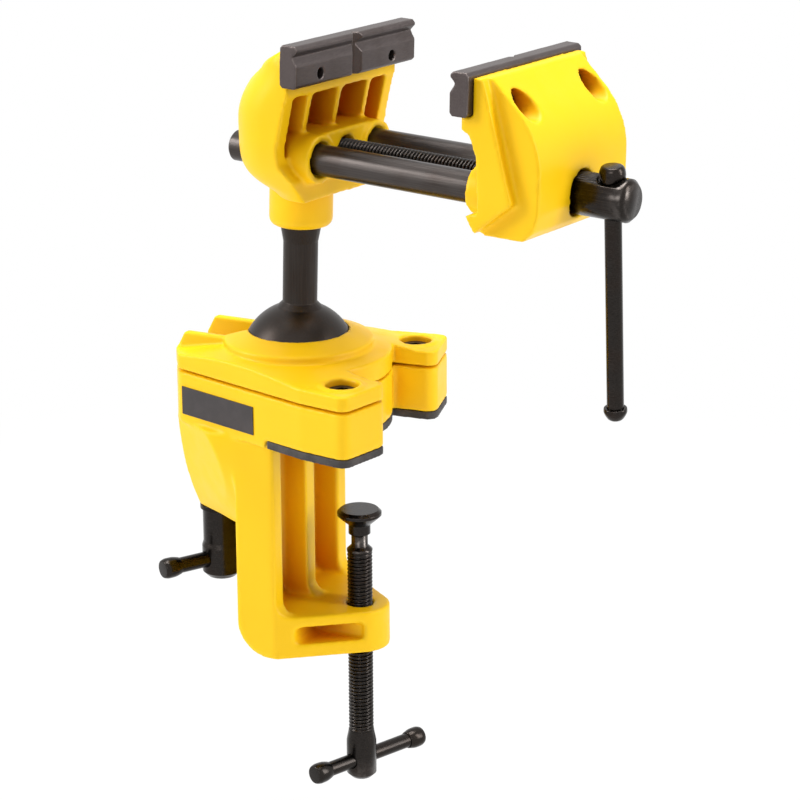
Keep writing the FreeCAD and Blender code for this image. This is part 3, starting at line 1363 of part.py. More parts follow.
def handle_knob(label, profile):
    """A knob turned about the handle bar; the profile is (distance from its axis, z)."""
    body = new_body(label)
    corners = [(S.handle_place + corner[0], corner[1]) for corner in profile]
    sketch = loops(body, "XZ_Plane", [corners])
    revolve(body, sketch, axis_line(sketch, across=S.handle_place))
    place_on_screw(body)
    return body


def make_top_knob():
    """Barrel knob on the handle's upper end; it rests in the screw's head."""
    wide = S.top_knob_radius
    low = S.head_radius - S.knob_nest + S.seat_gap
    top = low + S.top_knob_high
    profile = [(S.handle_radius, low), (wide - 0.7, low), (wide - 0.1, low + 2),
               (wide, low + S.top_knob_high / 2), (wide - 0.5, top - 1.6), (wide - 1.6, top),
               (0, top), (0, S.handle_top), (S.handle_radius, S.handle_top)]
    return handle_knob("handle_knob_top", profile)


def make_low_knob():
    """Flanged knob on the handle's lower end."""
    wide = S.low_knob_radius
    high = S.handle_low + 1
    low = high - S.low_knob_high
    profile = [(S.handle_radius, high), (wide, high), (wide, high - 1.6),
               (wide - 0.7, high - 2.2), (wide - 0.9, low + 1.2), (wide - 2, low), (0, low),
               (0, S.handle_low), (S.handle_radius, S.handle_low)]
    return handle_knob("handle_knob_low", profile)


# ---------------------------------------------------------------- build and export

def make_everything():
    """Build every sub-part in turn."""
    moving_face = S.plate_face + S.jaw_gap
    return [
        make_base_casting(), make_bench_pad(), make_clamp_cap(), make_cap_screws(),
        make_ball_seat(), make_badge(), make_lock_washer(), make_lock_bolt(),
        make_lock_barrel(), make_lock_tbar(), make_lock_knobs(), make_clamp_pad(),
        make_clamp_screw(), make_clamp_tbar(), make_clamp_knobs(), make_ball_stud(),
        make_fixed_jaw_body(), make_lead_nut(), make_post_set_screw(),
        make_plate("fixed_jaw_plate", S.plate_face, 1),
        make_plate_screws("fixed_plate_screws", S.plate_face, 1),
        make_moving_jaw_body(), make_plate("moving_jaw_plate", moving_face, -1),
        make_plate_screws("moving_plate_screws", moving_face, -1),
        make_guide_bar("guide_bar_near", -1), make_guide_bar("guide_bar_far", 1),
        make_guide_bar_pins(), make_main_screw(), make_thrust_washer(),
        make_retaining_ring(), make_handle_bar(), make_top_knob(), make_low_knob(),
    ]


def check_document():
    """Stop if any object of the document failed to compute."""
    for item in doc.Objects:
        if "Invalid" in item.State or "Error" in item.State:
            raise RuntimeError("%s (%s) failed: %s" % (item.Name, item.Label, item.State))


def export(bodies):
    """Check each sub-part's shape and write it to its own STEP file."""
    for body in bodies:
        shape = body.Shape
        if shape.isNull() or not shape.isValid() or not shape.Solids:
            raise RuntimeError("%s has no valid shape" % body.Label)
        print("%-22s %2d solids %10.1f mm3" % (body.Label, len(shape.Solids), shape.Volume))
    os.makedirs("parts", exist_ok=True)
    for body in bodies:
        body.Shape.exportStep(os.path.join("parts", body.Label + ".step"))


BODIES = make_everything()
doc.recompute()
check_document()
export(BODIES)
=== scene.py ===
"""Looks of the clamp-on bench vise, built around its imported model.

Everything is in metres in the vise's frame: +X points from the bench edge on to the bench, +Z is
up, and the origin lies where the clamp screw's axis meets the face that rests on the bench.
"""

import json
import logging
import math
from dataclasses import dataclass
from enum import Enum
from functools import partial
from typing import Any, Callable, Sequence

import bmesh
import bpy
import numpy as np
from mathutils import Matrix, Vector

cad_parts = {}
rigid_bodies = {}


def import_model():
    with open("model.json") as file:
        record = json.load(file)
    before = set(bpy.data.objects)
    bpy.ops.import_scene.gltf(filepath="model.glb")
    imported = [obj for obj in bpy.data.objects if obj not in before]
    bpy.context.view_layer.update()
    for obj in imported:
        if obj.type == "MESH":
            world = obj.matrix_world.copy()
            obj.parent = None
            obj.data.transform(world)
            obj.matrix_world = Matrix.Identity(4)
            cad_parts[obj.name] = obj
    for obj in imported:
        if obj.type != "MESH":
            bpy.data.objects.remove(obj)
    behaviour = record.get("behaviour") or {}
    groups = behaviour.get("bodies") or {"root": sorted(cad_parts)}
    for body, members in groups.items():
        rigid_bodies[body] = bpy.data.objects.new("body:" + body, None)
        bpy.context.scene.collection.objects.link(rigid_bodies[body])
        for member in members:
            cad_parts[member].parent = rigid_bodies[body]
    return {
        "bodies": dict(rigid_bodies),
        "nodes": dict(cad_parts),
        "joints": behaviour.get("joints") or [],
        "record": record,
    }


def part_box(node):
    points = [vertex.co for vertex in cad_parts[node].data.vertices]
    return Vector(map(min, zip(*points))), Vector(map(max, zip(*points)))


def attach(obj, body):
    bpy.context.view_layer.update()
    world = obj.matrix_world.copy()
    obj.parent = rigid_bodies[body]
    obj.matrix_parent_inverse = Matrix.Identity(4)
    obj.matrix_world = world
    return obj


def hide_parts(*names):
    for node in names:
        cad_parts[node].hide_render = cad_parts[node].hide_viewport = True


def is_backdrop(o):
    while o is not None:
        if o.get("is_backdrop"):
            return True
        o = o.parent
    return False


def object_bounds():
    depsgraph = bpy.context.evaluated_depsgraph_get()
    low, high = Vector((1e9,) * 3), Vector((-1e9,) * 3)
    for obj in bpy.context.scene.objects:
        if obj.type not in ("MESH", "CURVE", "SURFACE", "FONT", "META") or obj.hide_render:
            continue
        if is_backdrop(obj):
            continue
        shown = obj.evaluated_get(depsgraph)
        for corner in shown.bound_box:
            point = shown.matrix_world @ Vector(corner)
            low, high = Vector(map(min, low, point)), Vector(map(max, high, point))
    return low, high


log = logging.getLogger("bench_vise")

MM = 0.001
# Nodes of the slot for black steel that are ground, and so have a finish of their own.
GUIDE_BARS = ("guide_bar_near", "guide_bar_far")

# Points that lie closer than this, in metres, are one.
GRID_WELD = 1e-7  # in a new surface
NODE_WELD = 1e-6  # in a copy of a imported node
# A point this near to a cut, in metres, lies on it.
CUT_SNAP = 1e-7
# Edges that turn by more degrees than this stay sharp.
GRID_SHARP = 50.0  # in a new surface
NODE_SHARP = 32.0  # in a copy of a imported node
ALL_SMOOTH = 180.0  # nowhere

# Values that noise lies between for the most part.
NOISE_RANGE = {"From Min": 0.35, "From Max": 0.65}
# Cosine between softened and true normal: the least on an edge, and where the edge ends.
EDGE_MATCH = (0.90, 0.995)
# Rays that look for an edge or a hollow.
SAMPLES = 6
# A mix node's sockets for colours, which come after those for numbers and vectors.
MIX_A, MIX_B, MIX_RESULT = 6, 7, 2
WHITE = "#FFFFFF"


class Slot(str, Enum):
    """Material slots of the record."""

    CAST_PAINT = "cast_paint"
    JAW_STEEL = "jaw_steel"
    STUD_STEEL = "stud_steel"
    BLACK_STEEL = "black_steel"
    FASTENER_STEEL = "fastener_steel"
    NUT_BRONZE = "nut_bronze"
    PAD_RUBBER = "pad_rubber"
    BADGE_FILM = "badge_film"


# ---------------------------------------------------------------- finishes

@dataclass(frozen=True)
class PaintFinish:
    """Powder coat on a casting.

    Attributes:
        name: the material's name.
        hue: main colour, sRGB hex.
        hollow_shade_hue: painted shade where walls stand close, sRGB hex.
        paler_and_highlight: paler colour of the patches and painted highlight on edges, sRGB hex.
        roughness: lowest and highest roughness.
        specular: the shader's specular level.
        drift_mm: width of the patches where the colour drifts.
        drift: how far it drifts towards the paler colour, 0 to 1.
        gloss_mm: width of the patches where the roughness changes.
        peel_mm: width of the orange peel's dimples.
        grain_mm: width of the casting's grain under the coat.
        grain: height of that grain against the dimples.
        relief_mm: height of the dimples.
        shade_mm: how far apart walls still count as a hollow.
        hollow: openness at which the painted hollow shade is deepest, and at which it ends.
        bend: curvature at which the painted edge highlight starts, and at which it is full.
        edge_highlight_strength: how far the sharpest edge takes the paler colour, 0 to 1.
    """

    name: str
    hue: str
    hollow_shade_hue: str
    paler_and_highlight: str
    roughness: tuple[float, float]
    specular: float
    drift_mm: float
    drift: float
    gloss_mm: float
    peel_mm: float
    grain_mm: float
    grain: float
    relief_mm: float
    shade_mm: float
    hollow: tuple[float, float]
    bend: tuple[float, float]
    edge_highlight_strength: float


@dataclass(frozen=True)
class SteelFinish:
    """Darkened or bright metal.

    Attributes:
        name: the material's name.
        hue: main colour, sRGB hex.
        stain: colour of the oil and oxide stains, sRGB hex.
        worn: colour of the rubbed edges, sRGB hex.
        metallic: share of metal, 0 to 1.
        roughness: lowest and highest roughness.
        streak_mm: width of the tool marks.
        relief_mm: height of the tool marks.
        edge_mm: width of the rubbed edges.
        wear: how far the edges are rubbed, 0 to 1.
        stretch: how many times longer than wide the tool marks are.
        glint: how far the tool marks take the worn colour, 0 to 1.
        pit_mm: width of the pits.
        pits: height of the pits against the tool marks.
        stain_mm: width of the stains.
        stain_range: noise at which a stain starts, and at which it is full.
        stained: how far a full stain covers the metal, 0 to 1.
        scuff_mm: width of the scuffs along the edges.
        scuff_range: noise at which a scuff starts, and at which it is full.
        unscuffed: wear that is left between the scuffs, 0 to 1.
    """

    name: str
    hue: str
    stain: str
    worn: str
    metallic: float
    roughness: tuple[float, float]
    streak_mm: float
    relief_mm: float
    edge_mm: float
    wear: float
    stretch: float = 60.0
    glint: float = 0.10
    pit_mm: float = 0.22
    pits: float = 0.4
    stain_mm: float = 11.0
    stain_range: tuple[float, float] = (0.45, 0.72)
    stained: float = 0.5
    scuff_mm: float = 2.2
    scuff_range: tuple[float, float] = (0.40, 0.60)
    unscuffed: float = 0.25


@dataclass(frozen=True)
class SoftFinish:
    """Rubber or plastic film.

    Attributes:
        name: the material's name.
        hue: main colour, sRGB hex.
        bloom: colour of the paler patches, sRGB hex.
        roughness: lowest and highest roughness.
        grain_mm: width of the moulded grain.
        relief_mm: height of the grain.
        patch_mm: width of the paler patches.
        patch_range: noise at which a patch starts, and at which it is full.
    """

    name: str
    hue: str
    bloom: str
    roughness: tuple[float, float]
    grain_mm: float
    relief_mm: float
    patch_mm: float = 6.0
    patch_range: tuple[float, float] = (0.42, 0.70)


# Powder coat sprayed and baked on cast metal: a satin yellow with fine orange peel, with a
# painted highlight over edges and painted shade, deep orange, where walls stand close.
CAST_PAINT = PaintFinish("satin_yellow_powder_coat", hue="#F1BF08", hollow_shade_hue="#CF7600", paler_and_highlight="#F8C918",
                         roughness=(0.34, 0.46), specular=0.22, drift_mm=38.0, drift=0.35,
                         gloss_mm=9.0, peel_mm=1.3, grain_mm=0.35, grain=0.25, relief_mm=0.010,
                         shade_mm=32.0, hollow=(0.08, 0.62), bend=(0.52, 0.60), edge_highlight_strength=0.6)
# The tool marks of all the metals are drawn several times wider than real ones, so that they
# show. Milled steel with a dark phosphate coat: a dull brown-grey with pale rubbed edges.
JAW_STEEL = SteelFinish("dark_phosphated_plate", hue="#4F4746", stain="#3E3431", worn="#8A827D",
                        metallic=0.85, roughness=(0.36, 0.50), streak_mm=0.35, relief_mm=0.008,
                        edge_mm=0.5, wear=0.8)
# Turned ball and post, phosphated and oiled: a satin dark brown-grey.
STUD_STEEL = SteelFinish("oiled_dark_stud", hue="#332E2B", stain="#2E2520", worn="#5F5854",
                         metallic=0.95, roughness=(0.34, 0.46), streak_mm=0.30,
                         relief_mm=0.003, edge_mm=0.4, wear=0.3)
# Black oxide on turned bars, screws and knobs: near black, with bright narrow reflections.
BLACK_STEEL = SteelFinish("black_oxide_bar", hue="#292624", stain="#2F231C", worn="#6E6864",
                          metallic=1.0, roughness=(0.18, 0.30), streak_mm=0.25,
                          relief_mm=0.002, edge_mm=0.35, wear=0.5)
# Black oxide on the ground guide bars: paler and more satin than on the screws.
GUIDE_STEEL = SteelFinish("ground_black_guide_bar", hue="#474240", stain="#3A302A",
                          worn="#8A8480", metallic=1.0, roughness=(0.27, 0.38),
                          streak_mm=0.30, relief_mm=0.002, edge_mm=0.35, wear=0.5)
# Black oxide on small forged and rolled fasteners: a dull black with grey rims.
FASTENER_STEEL = SteelFinish("black_oxide_screw", hue="#221F1D", stain="#281F1A",
                             worn="#57514D", metallic=1.0, roughness=(0.30, 0.44),
                             streak_mm=0.20, relief_mm=0.004, edge_mm=0.2, wear=0.4)
# Turned bronze of the lead nut: a warm yellow-brown with fine turning marks.
NUT_BRONZE = SteelFinish("machined_bronze", hue="#B08A4E", stain="#8A6636", worn="#CDAA70",
                         metallic=1.0, roughness=(0.28, 0.42), streak_mm=0.20,
                         relief_mm=0.006, edge_mm=0.3, wear=0.3)
# Moulded rubber of the bench pad: a matt black with a dusty bloom.
PAD_RUBBER = SoftFinish("matt_moulded_rubber", hue="#312D2C", bloom="#443F3D",
                        roughness=(0.62, 0.80), grain_mm=0.5, relief_mm=0.02)
# Printed plastic film of the badge, left blank: smooth, dark and glossier than the rubber.
BADGE_FILM = SoftFinish("blank_dark_film", hue="#2E2828", bloom="#383131",
                        roughness=(0.40, 0.52), grain_mm=0.25, relief_mm=0.003)


# ---------------------------------------------------------------- materials

def linear(colour: str) -> tuple[float, float, float, float]:
    """Convert an sRGB hex colour to linear RGBA.

    A part v from 0 to 1 becomes v / 12.92 where it is 0.04045 or less, and (v + 0.055) / 1.055
    to the power of 2.4 above that.

    Args:
        colour: six hex digits after a hash sign.

    Returns:
        Red, green, blue and an alpha of 1.
    """
    parts = [int(colour[i:i + 2], 16) / 255 for i in (1, 3, 5)]
    red, green, blue = [v / 12.92 if v <= 0.04045 else ((v + 0.055) / 1.055) ** 2.4
                        for v in parts]
    return (red, green, blue, 1.0)


def blobs(width_mm: float) -> float:
    """Scale at which a noise's blobs are as wide as a real size: one over it, in metres."""
    return 1 / (width_mm * MM)


def add_node(tree: bpy.types.NodeTree, kind: str, inputs: dict | None = None,
             output: int | str = 0, **settings: Any) -> bpy.types.NodeSocket | None:
    """Add a node, set its properties and fill or link its inputs.

    Args:
        tree: the node tree that gets it.
        kind: the node's type name.
        inputs: socket name or number to a value or to another node's output.
        output: name or number of the output that is wanted.
        **settings: properties of the node itself.

    Returns:
        The wanted output, or None for a node without outputs.
    """
    node = tree.nodes.new(kind)
    for key, value in settings.items():
        setattr(node, key, value)
    for key, value in (inputs or {}).items():
        if isinstance(value, bpy.types.NodeSocket):
            tree.links.new(value, node.inputs[key])
        else:
            node.inputs[key].default_value = value
    return node.outputs[output] if node.outputs else None


def any_ray(add: Callable, *kinds: str) -> bpy.types.NodeSocket:
    """1 for rays of the named kinds and 0 for all others: the largest of their flags.

    Args:
        add: add_node for one tree.
        *kinds: names of the light path's outputs.

    Returns:
        The result.
    """
    found = add("ShaderNodeLightPath", output=kinds[0])
    for kind in kinds[1:]:
        flag = add("ShaderNodeLightPath", output=kind)
        found = add("ShaderNodeMath", {0: found, 1: flag}, operation="MAXIMUM")
    return found


class Shader:
    """A new material.

    Attributes:
        material: the material.
        add: add_node for its tree.
        place: the object's own coordinates.
    """

    def __init__(self, name: str) -> None:
        """Start an empty material.

        Args:
            name: the material's name.
        """
        self.material = bpy.data.materials.new(name)
        self.material.use_nodes = True
        self.material.node_tree.nodes.clear()
        self.add = partial(add_node, self.material.node_tree)
        self.place = self.add("ShaderNodeTexCoord", output="Object")

    def along(self, axis: Vector, stretch: float) -> bpy.types.NodeSocket:
        """Coordinates that are drawn out along one direction.

        Args:
            axis: the direction, in the vise's frame.
            stretch: how many times longer marks become along it.

        Returns:
            The coordinates.
        """
        turn = axis.to_track_quat("X", "Z").to_euler()
        turned = self.add("ShaderNodeMapping", {"Vector": self.place, "Rotation": turn},
                          vector_type="TEXTURE")
        return self.add("ShaderNodeMapping", {"Vector": turned, "Scale": (1 / stretch, 1, 1)})

    def edge_mask(self, soft: bpy.types.NodeSocket) -> bpy.types.NodeSocket:
        """1 on the softened edges and 0 on the faces between them.

        It grows as the cosine between the softened and the true normal falls.

        Args:
            soft: the softened normal.

        Returns:
            The mask.
        """
        true = self.add("ShaderNodeNewGeometry", output="True Normal")
        match = self.add("ShaderNodeVectorMath", {0: soft, 1: true}, output="Value",
                         operation="DOT_PRODUCT")
        return self.add("ShaderNodeMapRange",
                        {"Value": match, "From Min": EDGE_MATCH[0], "From Max": EDGE_MATCH[1],
                         "To Min": 1.0, "To Max": 0.0})

    def close(self, **inputs: Any) -> bpy.types.Material:
        """Join the surface to the output.

        Args:
            **inputs: sockets of the surface shader, with _ for a space.

        Returns:
            The finished material.
        """
        named = {key.replace("_", " "): value for key, value in inputs.items()}
        surface = self.add("ShaderNodeBsdfPrincipled", named)
        self.add("ShaderNodeOutputMaterial", {"Surface": surface})
        return self.material


def powder_coat(finish: PaintFinish) -> bpy.types.Material:
    """Satin coat with orange peel, a painted highlight over edges and painted shade in hollows.

    Args:
        finish: its colours and sizes.

    Returns:
        The material.
    """
    shader = Shader(finish.name)
    add, place = shader.add, shader.place
    paler_and_highlight = linear(finish.paler_and_highlight)
    drift = add("ShaderNodeTexNoise",
                {"Vector": place, "Scale": blobs(finish.drift_mm), "Detail": 3.0})
    drift = add("ShaderNodeMapRange", {"Value": drift, **NOISE_RANGE, "To Max": finish.drift})
    colour = add("ShaderNodeMix", {0: drift, MIX_A: linear(finish.hue), MIX_B: paler_and_highlight},
                 output=MIX_RESULT, data_type="RGBA")
    # Painted shade: where walls stand close, the colour turns deep orange.
    open_share = add("ShaderNodeAmbientOcclusion", {"Distance": finish.shade_mm * MM},
                     output="AO", samples=SAMPLES, only_local=True)
    hollow = add("ShaderNodeMapRange",
                 {"Value": open_share, "From Min": finish.hollow[0],
                  "From Max": finish.hollow[1], "To Min": 1.0, "To Max": 0.0})
    colour = add("ShaderNodeMix", {0: hollow, MIX_A: colour, MIX_B: linear(finish.hollow_shade_hue)},
                 output=MIX_RESULT, data_type="RGBA")
    # Painted highlight: sharp convex edges turn to the paler colour.
    curve = add("ShaderNodeNewGeometry", output="Pointiness")
    edge = add("ShaderNodeMapRange",
               {"Value": curve, "From Min": finish.bend[0], "From Max": finish.bend[1],
                "To Max": finish.edge_highlight_strength})
    colour = add("ShaderNodeMix", {0: edge, MIX_A: colour, MIX_B: paler_and_highlight},
                 output=MIX_RESULT, data_type="RGBA")
    peel = add("ShaderNodeTexNoise",
               {"Vector": place, "Scale": blobs(finish.peel_mm), "Detail": 1.5})
    grain = add("ShaderNodeTexNoise",
                {"Vector": place, "Scale": blobs(finish.grain_mm), "Detail": 2.0})
    grain = add("ShaderNodeMath", {0: grain, 1: finish.grain}, operation="MULTIPLY")
    height = add("ShaderNodeMath", {0: peel, 1: grain}, operation="ADD")
    gloss = add("ShaderNodeTexNoise",
                {"Vector": place, "Scale": blobs(finish.gloss_mm), "Detail": 4.0})
    gloss = add("ShaderNodeMapRange", {"Value": gloss, **NOISE_RANGE,
                                       "To Min": finish.roughness[0],
                                       "To Max": finish.roughness[1]})
    normal = add("ShaderNodeBump", {"Height": height, "Distance": finish.relief_mm * MM,
                                    "Strength": 1.0})
    return shader.close(Base_Color=colour, Roughness=gloss, Specular_IOR_Level=finish.specular,
                        Normal=normal)


def dark_steel(finish: SteelFinish, axis: Vector) -> bpy.types.Material:
    """Metal with tool marks along one direction, oil stains and rubbed edges.

    Args:
        finish: its colours and sizes.
        axis: direction of the tool marks.

    Returns:
        The material.
    """
    shader = Shader(finish.name)
    add, place = shader.add, shader.place
    worn = linear(finish.worn)
    marks = add("ShaderNodeTexNoise", {"Vector": shader.along(axis, finish.stretch),
                                       "Scale": blobs(finish.streak_mm), "Detail": 3.0})
    pits = add("ShaderNodeTexNoise",
               {"Vector": place, "Scale": blobs(finish.pit_mm), "Detail": 2.0})
    stain = add("ShaderNodeTexNoise",
                {"Vector": place, "Scale": blobs(finish.stain_mm), "Detail": 5.0})
    stain = add("ShaderNodeMapRange",
                {"Value": stain, "From Min": finish.stain_range[0],
                 "From Max": finish.stain_range[1], "To Max": finish.stained})
    colour = add("ShaderNodeMix",
                 {0: stain, MIX_A: linear(finish.hue), MIX_B: linear(finish.stain)},
                 output=MIX_RESULT, data_type="RGBA")
    glint = add("ShaderNodeMapRange", {"Value": marks, **NOISE_RANGE, "To Max": finish.glint})
    colour = add("ShaderNodeMix", {0: glint, MIX_A: colour, MIX_B: worn},
                 output=MIX_RESULT, data_type="RGBA")
    soft = add("ShaderNodeBevel", {"Radius": finish.edge_mm * MM}, samples=SAMPLES)
    scuffs = add("ShaderNodeTexNoise",
                 {"Vector": place, "Scale": blobs(finish.scuff_mm), "Detail": 4.0})
    scuffs = add("ShaderNodeMapRange",
                 {"Value": scuffs, "From Min": finish.scuff_range[0],
                  "From Max": finish.scuff_range[1], "To Min": finish.unscuffed})
    rubbed = add("ShaderNodeMath", {0: shader.edge_mask(soft), 1: scuffs}, operation="MULTIPLY")
    rubbed = add("ShaderNodeMath", {0: rubbed, 1: finish.wear}, operation="MULTIPLY")
    colour = add("ShaderNodeMix", {0: rubbed, MIX_A: colour, MIX_B: worn},
                 output=MIX_RESULT, data_type="RGBA")
    # The roughness follows the mean of marks and pits.
    gloss = add("ShaderNodeMath", {0: marks, 1: pits}, operation="ADD")
    gloss = add("ShaderNodeMath", {0: gloss, 1: 0.5}, operation="MULTIPLY")
    gloss = add("ShaderNodeMapRange", {"Value": gloss, **NOISE_RANGE,
                                       "To Min": finish.roughness[0],
                                       "To Max": finish.roughness[1]})
    pits = add("ShaderNodeMath", {0: pits, 1: finish.pits}, operation="MULTIPLY")
    height = add("ShaderNodeMath", {0: marks, 1: pits}, operation="ADD")
    normal = add("ShaderNodeBump", {"Height": height, "Distance": finish.relief_mm * MM,
                                    "Strength": 1.0, "Normal": soft})
    return shader.close(Base_Color=colour, Metallic=finish.metallic, Roughness=gloss,
                        Normal=normal)


def soft_skin(finish: SoftFinish) -> bpy.types.Material:
    """Rubber or film with a fine grain and paler patches.

    Args:
        finish: its colours and sizes.

    Returns:
        The material.
    """
    shader = Shader(finish.name)
    add, place = shader.add, shader.place
    patch = add("ShaderNodeTexNoise",
                {"Vector": place, "Scale": blobs(finish.patch_mm), "Detail": 4.0})
    patch = add("ShaderNodeMapRange", {"Value": patch, "From Min": finish.patch_range[0],
                                       "From Max": finish.patch_range[1]})
    colour = add("ShaderNodeMix",
                 {0: patch, MIX_A: linear(finish.hue), MIX_B: linear(finish.bloom)},
                 output=MIX_RESULT, data_type="RGBA")
    grain = add("ShaderNodeTexNoise",
                {"Vector": place, "Scale": blobs(finish.grain_mm), "Detail": 3.0})
    gloss = add("ShaderNodeMapRange", {"Value": grain, **NOISE_RANGE,
                                       "To Min": finish.roughness[0],
                                       "To Max": finish.roughness[1]})
    normal = add("ShaderNodeBump", {"Height": grain, "Distance": finish.relief_mm * MM,
                                    "Strength": 1.0})
    return shader.close(Base_Color=colour, Roughness=gloss, Normal=normal)


class Paintbox:
    """The finished materials.

    Attributes:
        finishes: one material for each slot.
        guide_finish: the guide bars' own, in place of their slot's.
    """

    def __init__(self, slide_axis: Vector) -> None:
        """Make the materials.

        Args:
            slide_axis: direction of the main screw.
        """
        upright = Vector((0, 0, 1))
        level = Vector((0, 1, 0))
        self.finishes = {
            Slot.CAST_PAINT: powder_coat(CAST_PAINT),
            Slot.JAW_STEEL: dark_steel(JAW_STEEL, level),
            Slot.STUD_STEEL: dark_steel(STUD_STEEL, upright),
            Slot.BLACK_STEEL: dark_steel(BLACK_STEEL, slide_axis),
            Slot.FASTENER_STEEL: dark_steel(FASTENER_STEEL, upright),
            Slot.NUT_BRONZE: dark_steel(NUT_BRONZE, slide_axis),
            Slot.PAD_RUBBER: soft_skin(PAD_RUBBER),
            Slot.BADGE_FILM: soft_skin(BADGE_FILM),
        }
        self.guide_finish = dark_steel(GUIDE_STEEL, slide_axis)

    def dress(self, piece: bpy.types.Object, node: str, slot: Slot) -> None:
        """Give a piece its material, on the object and not on its mesh.

        Args:
            piece: the piece.
            node: the node that it is or stands for.
            slot: that node's slot.
        """
        finish = self.guide_finish if node in GUIDE_BARS else self.finishes[slot]
        if not piece.material_slots:
            piece.data.materials.append(None)
        for place in piece.material_slots:
            place.link = "OBJECT"
            place.material = finish


# ---------------------------------------------------------------- meshes

def linked(name: str, data: bpy.types.ID) -> bpy.types.Object:
    """Link a mesh, lamp or camera to the scene as an object at the origin.

    Args:
        name: the object's name.
        data: what it shows.

    Returns:
        The object.
    """
    piece = bpy.data.objects.new(name, data)
    bpy.context.scene.collection.objects.link(piece)
    return piece


def welded(mesh: bpy.types.Mesh, distance: float) -> bmesh.types.BMesh:
    """An open form of a mesh, in which points closer than a distance are one.

    Args:
        mesh: the mesh, which stays as it is.
        distance: the distance.

    Returns:
        The form.
    """
    form = bmesh.new()
    form.from_mesh(mesh)
    bmesh.ops.remove_doubles(form, verts=form.verts, dist=distance)
    return form


def closed(name: str, form: bmesh.types.BMesh) -> bpy.types.Mesh:
    """Write an open form to a new mesh.

    Args:
        name: the mesh's name.
        form: the form, which is freed.

    Returns:
        The mesh.
    """
    mesh = bpy.data.meshes.new(name)
    form.to_mesh(mesh)
    form.free()
    return mesh


def shade_smooth(mesh: bpy.types.Mesh, sharp_degrees: float = ALL_SMOOTH) -> None:
    """Shade a mesh smooth, except over edges sharper than an angle.

    Args:
        mesh: the mesh.
        sharp_degrees: the angle.
    """
    mesh.polygons.foreach_set("use_smooth", np.ones(len(mesh.polygons), dtype=bool))
    if sharp_degrees < ALL_SMOOTH:
        mesh.set_sharp_from_angle(angle=math.radians(sharp_degrees))
    mesh.update()


def grid_mesh(name: str, points: np.ndarray,
              sharp_degrees: float = GRID_SHARP) -> bpy.types.Mesh:
    """A surface from rows of points that each close on themselves.

    Each cell between two rows and two columns is a face, and the last column joins the first.

    Args:
        name: the mesh's name.
        points: array of rows, columns and three coordinates.
        sharp_degrees: edges sharper than this stay sharp.

    Returns:
        The mesh, with the points of a row that coincide merged.
    """
    rows, columns, _ = points.shape
    index = np.arange(rows * columns).reshape(rows, columns)
    following = np.roll(index, -1, axis=1)
    quads = np.stack((index[:-1], following[:-1], following[1:], index[1:]), axis=-1)
    mesh = bpy.data.meshes.new(name)
    mesh.from_pydata(points.reshape(-1, 3).tolist(), [], quads.reshape(-1, 4).tolist())
    form = welded(mesh, GRID_WELD)
    bmesh.ops.recalc_face_normals(form, faces=form.faces)
    form.to_mesh(mesh)
    form.free()
    shade_smooth(mesh, sharp_degrees)
    return mesh


def joined(name: str, meshes: Sequence[bpy.types.Mesh]) -> bpy.types.Mesh:
    """Several meshes as one.

    Args:
        name: the new mesh's name.
        meshes: the meshes, which are removed.

    Returns:
        The new mesh.
    """
    form = bmesh.new()
    for mesh in meshes:
        form.from_mesh(mesh)
    whole = closed(name, form)
    for mesh in meshes:
        bpy.data.meshes.remove(mesh)
    return whole


@dataclass(frozen=True)
class Axis:
    """A line in the vise's frame.

    Attributes:
        origin: a point on it.
        direction: its unit direction.
    """

    origin: Vector
    direction: Vector

    def sides(self) -> tuple[Vector, Vector]:
        """Two unit directions that are square to the line and right-handed with it."""
        across = self.direction.orthogonal().normalized()
        return across, self.direction.cross(across)

    def turned(self, radii: np.ndarray, heights: np.ndarray, columns: int) -> np.ndarray:
        """Points on rings about the line.

        Each point is the line's origin, plus its height along the line, plus its radius times
        the cosine of its angle to one side and the sine of it to the other.

        Args:
            radii: radius of each ring, or of each ring and column.
            heights: place of each ring along the line.
            columns: points on a ring.

        Returns:
            Array of rings, columns and three coordinates.
        """
        angles = np.linspace(0, 2 * np.pi, columns, endpoint=False)
        across, along = (np.array(side) for side in self.sides())
        spokes = np.cos(angles)[:, None] * across + np.sin(angles)[:, None] * along
        radii = np.broadcast_to(radii.reshape(len(heights), -1), (len(heights), columns))
        centre = np.array(self.origin) + heights[:, None] * np.array(self.direction)
        return centre[:, None, :] + radii[:, :, None] * spokes[None]

    def spread_of(self, node: bpy.types.Object) -> tuple[float, float]:
        """Where a node starts and ends along the line.

        Args:
            node: an object at the origin.

        Returns:
            Lowest and highest place.
        """
        corners = np.empty(len(node.data.vertices) * 3)
        node.data.vertices.foreach_get("co", corners)
        places = (corners.reshape(-1, 3) - np.array(self.origin)) @ np.array(self.direction)
        return float(places.min()), float(places.max())


def rounded_outline(corners: Sequence[tuple[float, float, float]], steps: int = 6) -> np.ndarray:
    """An open outline with an arc in place of each corner that has a rounding.

    The arc touches both sides of a corner. Its tangent length is the rounding, limited to just
    under half of the shorter side. With a share s from 0 to 1, a point of it is (1 - s) squared
    times its start, plus 2 s (1 - s) times the corner, plus s squared times its end.

    Args:
        corners: (radius, height, rounding) in millimetres.
        steps: points on an arc.

    Returns:
        Array of (radius, height) in metres.
    """
    nearly_half = 0.49
    places = np.array([corner[:2] for corner in corners], float)
    share = np.linspace(0, 1, steps)[:, None]
    stretches = [places[:1]]
    for number in range(1, len(corners) - 1):
        here, rounding = places[number], corners[number][2]
        to_last, to_next = places[number - 1] - here, places[number + 1] - here
        last_side, next_side = np.linalg.norm(to_last), np.linalg.norm(to_next)
        reach = min(rounding, nearly_half * last_side, nearly_half * next_side)
        if reach <= 0:
            stretches.append(here[None])
            continue
        start, end = here + to_last / last_side * reach, here + to_next / next_side * reach
        stretches.append((1 - share) ** 2 * start + 2 * share * (1 - share) * here
                         + share ** 2 * end)
    stretches.append(places[-1:])
    return np.concatenate(stretches) * MM


